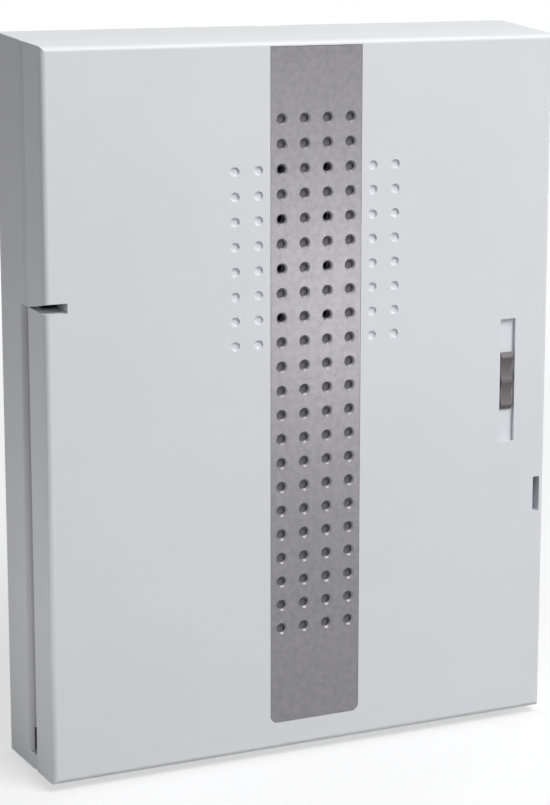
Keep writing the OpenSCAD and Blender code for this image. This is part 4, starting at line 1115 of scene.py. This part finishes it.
def stage_floor(colour, height, glow):
    """A wide pale floor, which keeps the shadow near the object and fades to white far from it."""
    deselect()
    bpy.ops.mesh.primitive_plane_add(size=FLOOR_WIDTH, location=(0, 0, height))
    floor = bpy.context.object
    floor.name = "stage_floor"
    bpy.ops.object.transform_apply(location=True, rotation=True, scale=True)
    f = Finish("stage_floor_pale")
    far = distance(f.x, f.y).rise(FADE_START, FADE_END)
    shader = f.node("ShaderNodeBsdfPrincipled", {}, {
        "Base Color": f.mix(far, colour, shade(colour, 0.5)), "Roughness": 0.9})
    pale = f.node("ShaderNodeEmission", {}, {"Color": WHITE, "Strength": glow})
    white = f.node("ShaderNodeEmission", {}, {"Color": WHITE, "Strength": 1.0})
    near = f.node("ShaderNodeAddShader", {}, {0: shader, 1: pale})
    shown = f.node("ShaderNodeMixShader", {}, {0: far, 1: near, 2: white})
    mixed = f.node("ShaderNodeMixShader", {}, {0: f.seen(), 1: shader, 2: shown})
    f.node("ShaderNodeOutputMaterial", {}, {"Surface": mixed})
    floor.data.materials.append(f.material)


def stage_sky(strength):
    """Even light all around, which looks white to the camera and in reflections."""
    world = bpy.data.worlds.new("stage_sky")
    bpy.context.scene.world = world
    sky = NodeTree(world)
    soft = sky.node("ShaderNodeBackground", {}, {"Color": SKY_TINT, "Strength": strength})
    white = sky.node("ShaderNodeBackground", {}, {"Color": WHITE, "Strength": 1.0})
    mixed = sky.node("ShaderNodeMixShader", {}, {0: sky.seen(), 1: soft, 2: white})
    sky.node("ShaderNodeOutputWorld", {}, {"Surface": mixed})


def stage_light(name, place, aim, width, power):
    """A soft square light that looks at a point."""
    deselect()
    bpy.ops.object.light_add(type="AREA", location=place)
    light = bpy.context.object
    light.name = name
    light.data.size = width
    light.data.energy = power
    light.visible_camera = False
    light.rotation_euler = (Vector(aim) - Vector(place)).to_track_quat("-Z", "Y").to_euler()


class CHIME_OT_stage(bpy.types.Operator):
    """Floor, light and the camera of the photograph"""
    bl_idname = "chime.stage"
    bl_label = "Stage"

    def execute(self, context):
        stage = settings().stage
        scene = bpy.context.scene
        scene.view_settings.view_transform = "Standard"
        stage_floor(settings().colours.floor, CAD_BOX[0].z - FLOOR_GAP, stage.glow)
        stage_sky(stage.sky)
        for name, place, aim, width, power in LIGHTS:
            stage_light(name, place, aim, width, getattr(stage, power))
        deselect()
        bpy.ops.object.camera_add(location=stage.camera_place,
                                  rotation=(math.pi / 2 - stage.camera_pitch, 0, -stage.camera_yaw))
        camera = bpy.context.object
        camera.name = "photo_camera"
        camera.data.sensor_width = 36.0
        camera.data.lens = stage.lens
        camera.data.shift_y = stage.shift
        camera.data.clip_start = 0.01
        camera.data.clip_end = 50.0
        scene.camera = camera
        return {"FINISHED"}


class CHIME_PT_panel(bpy.types.Panel):
    """Lists the steps that build the chime's looks"""
    bl_idname = "CHIME_PT_panel"
    bl_label = "Door chime"
    bl_space_type = "VIEW_3D"
    bl_region_type = "UI"
    bl_category = "Chime"

    def draw(self, context):
        layout = self.layout
        for step in STEPS:
            layout.operator(step.bl_idname)
        for group in ("colours", "sizes", "stage"):
            values = getattr(context.scene.chime, group)
            column = layout.column(align=True)
            for name in values.__annotations__:
                column.prop(values, name)


GROUPS = (CHIME_PG_colours, CHIME_PG_sizes, CHIME_PG_stage, CHIME_PG_settings)
STEPS = (CHIME_OT_stage, CHIME_OT_housing, CHIME_OT_speaker, CHIME_OT_board, CHIME_OT_battery,
         CHIME_OT_leads, CHIME_OT_soft, CHIME_OT_solder)


def register():
    """Adds the classes and the scene's settings."""
    for entry in GROUPS + STEPS + (CHIME_PT_panel,):
        bpy.utils.register_class(entry)
    bpy.types.Scene.chime = PointerProperty(type=CHIME_PG_settings)


def unregister():
    """Takes the classes and the scene's settings away again."""
    del bpy.types.Scene.chime
    for entry in reversed(GROUPS + STEPS + (CHIME_PT_panel,)):
        bpy.utils.unregister_class(entry)


def main():
    """Registers the classes and runs every step in order."""
    register()
    bpy.ops.chime.stage()
    bpy.ops.chime.housing()
    bpy.ops.chime.speaker()
    bpy.ops.chime.board()
    bpy.ops.chime.battery()
    bpy.ops.chime.leads()
    bpy.ops.chime.soft()
    bpy.ops.chime.solder()


if __name__ == "__main__":
    main()
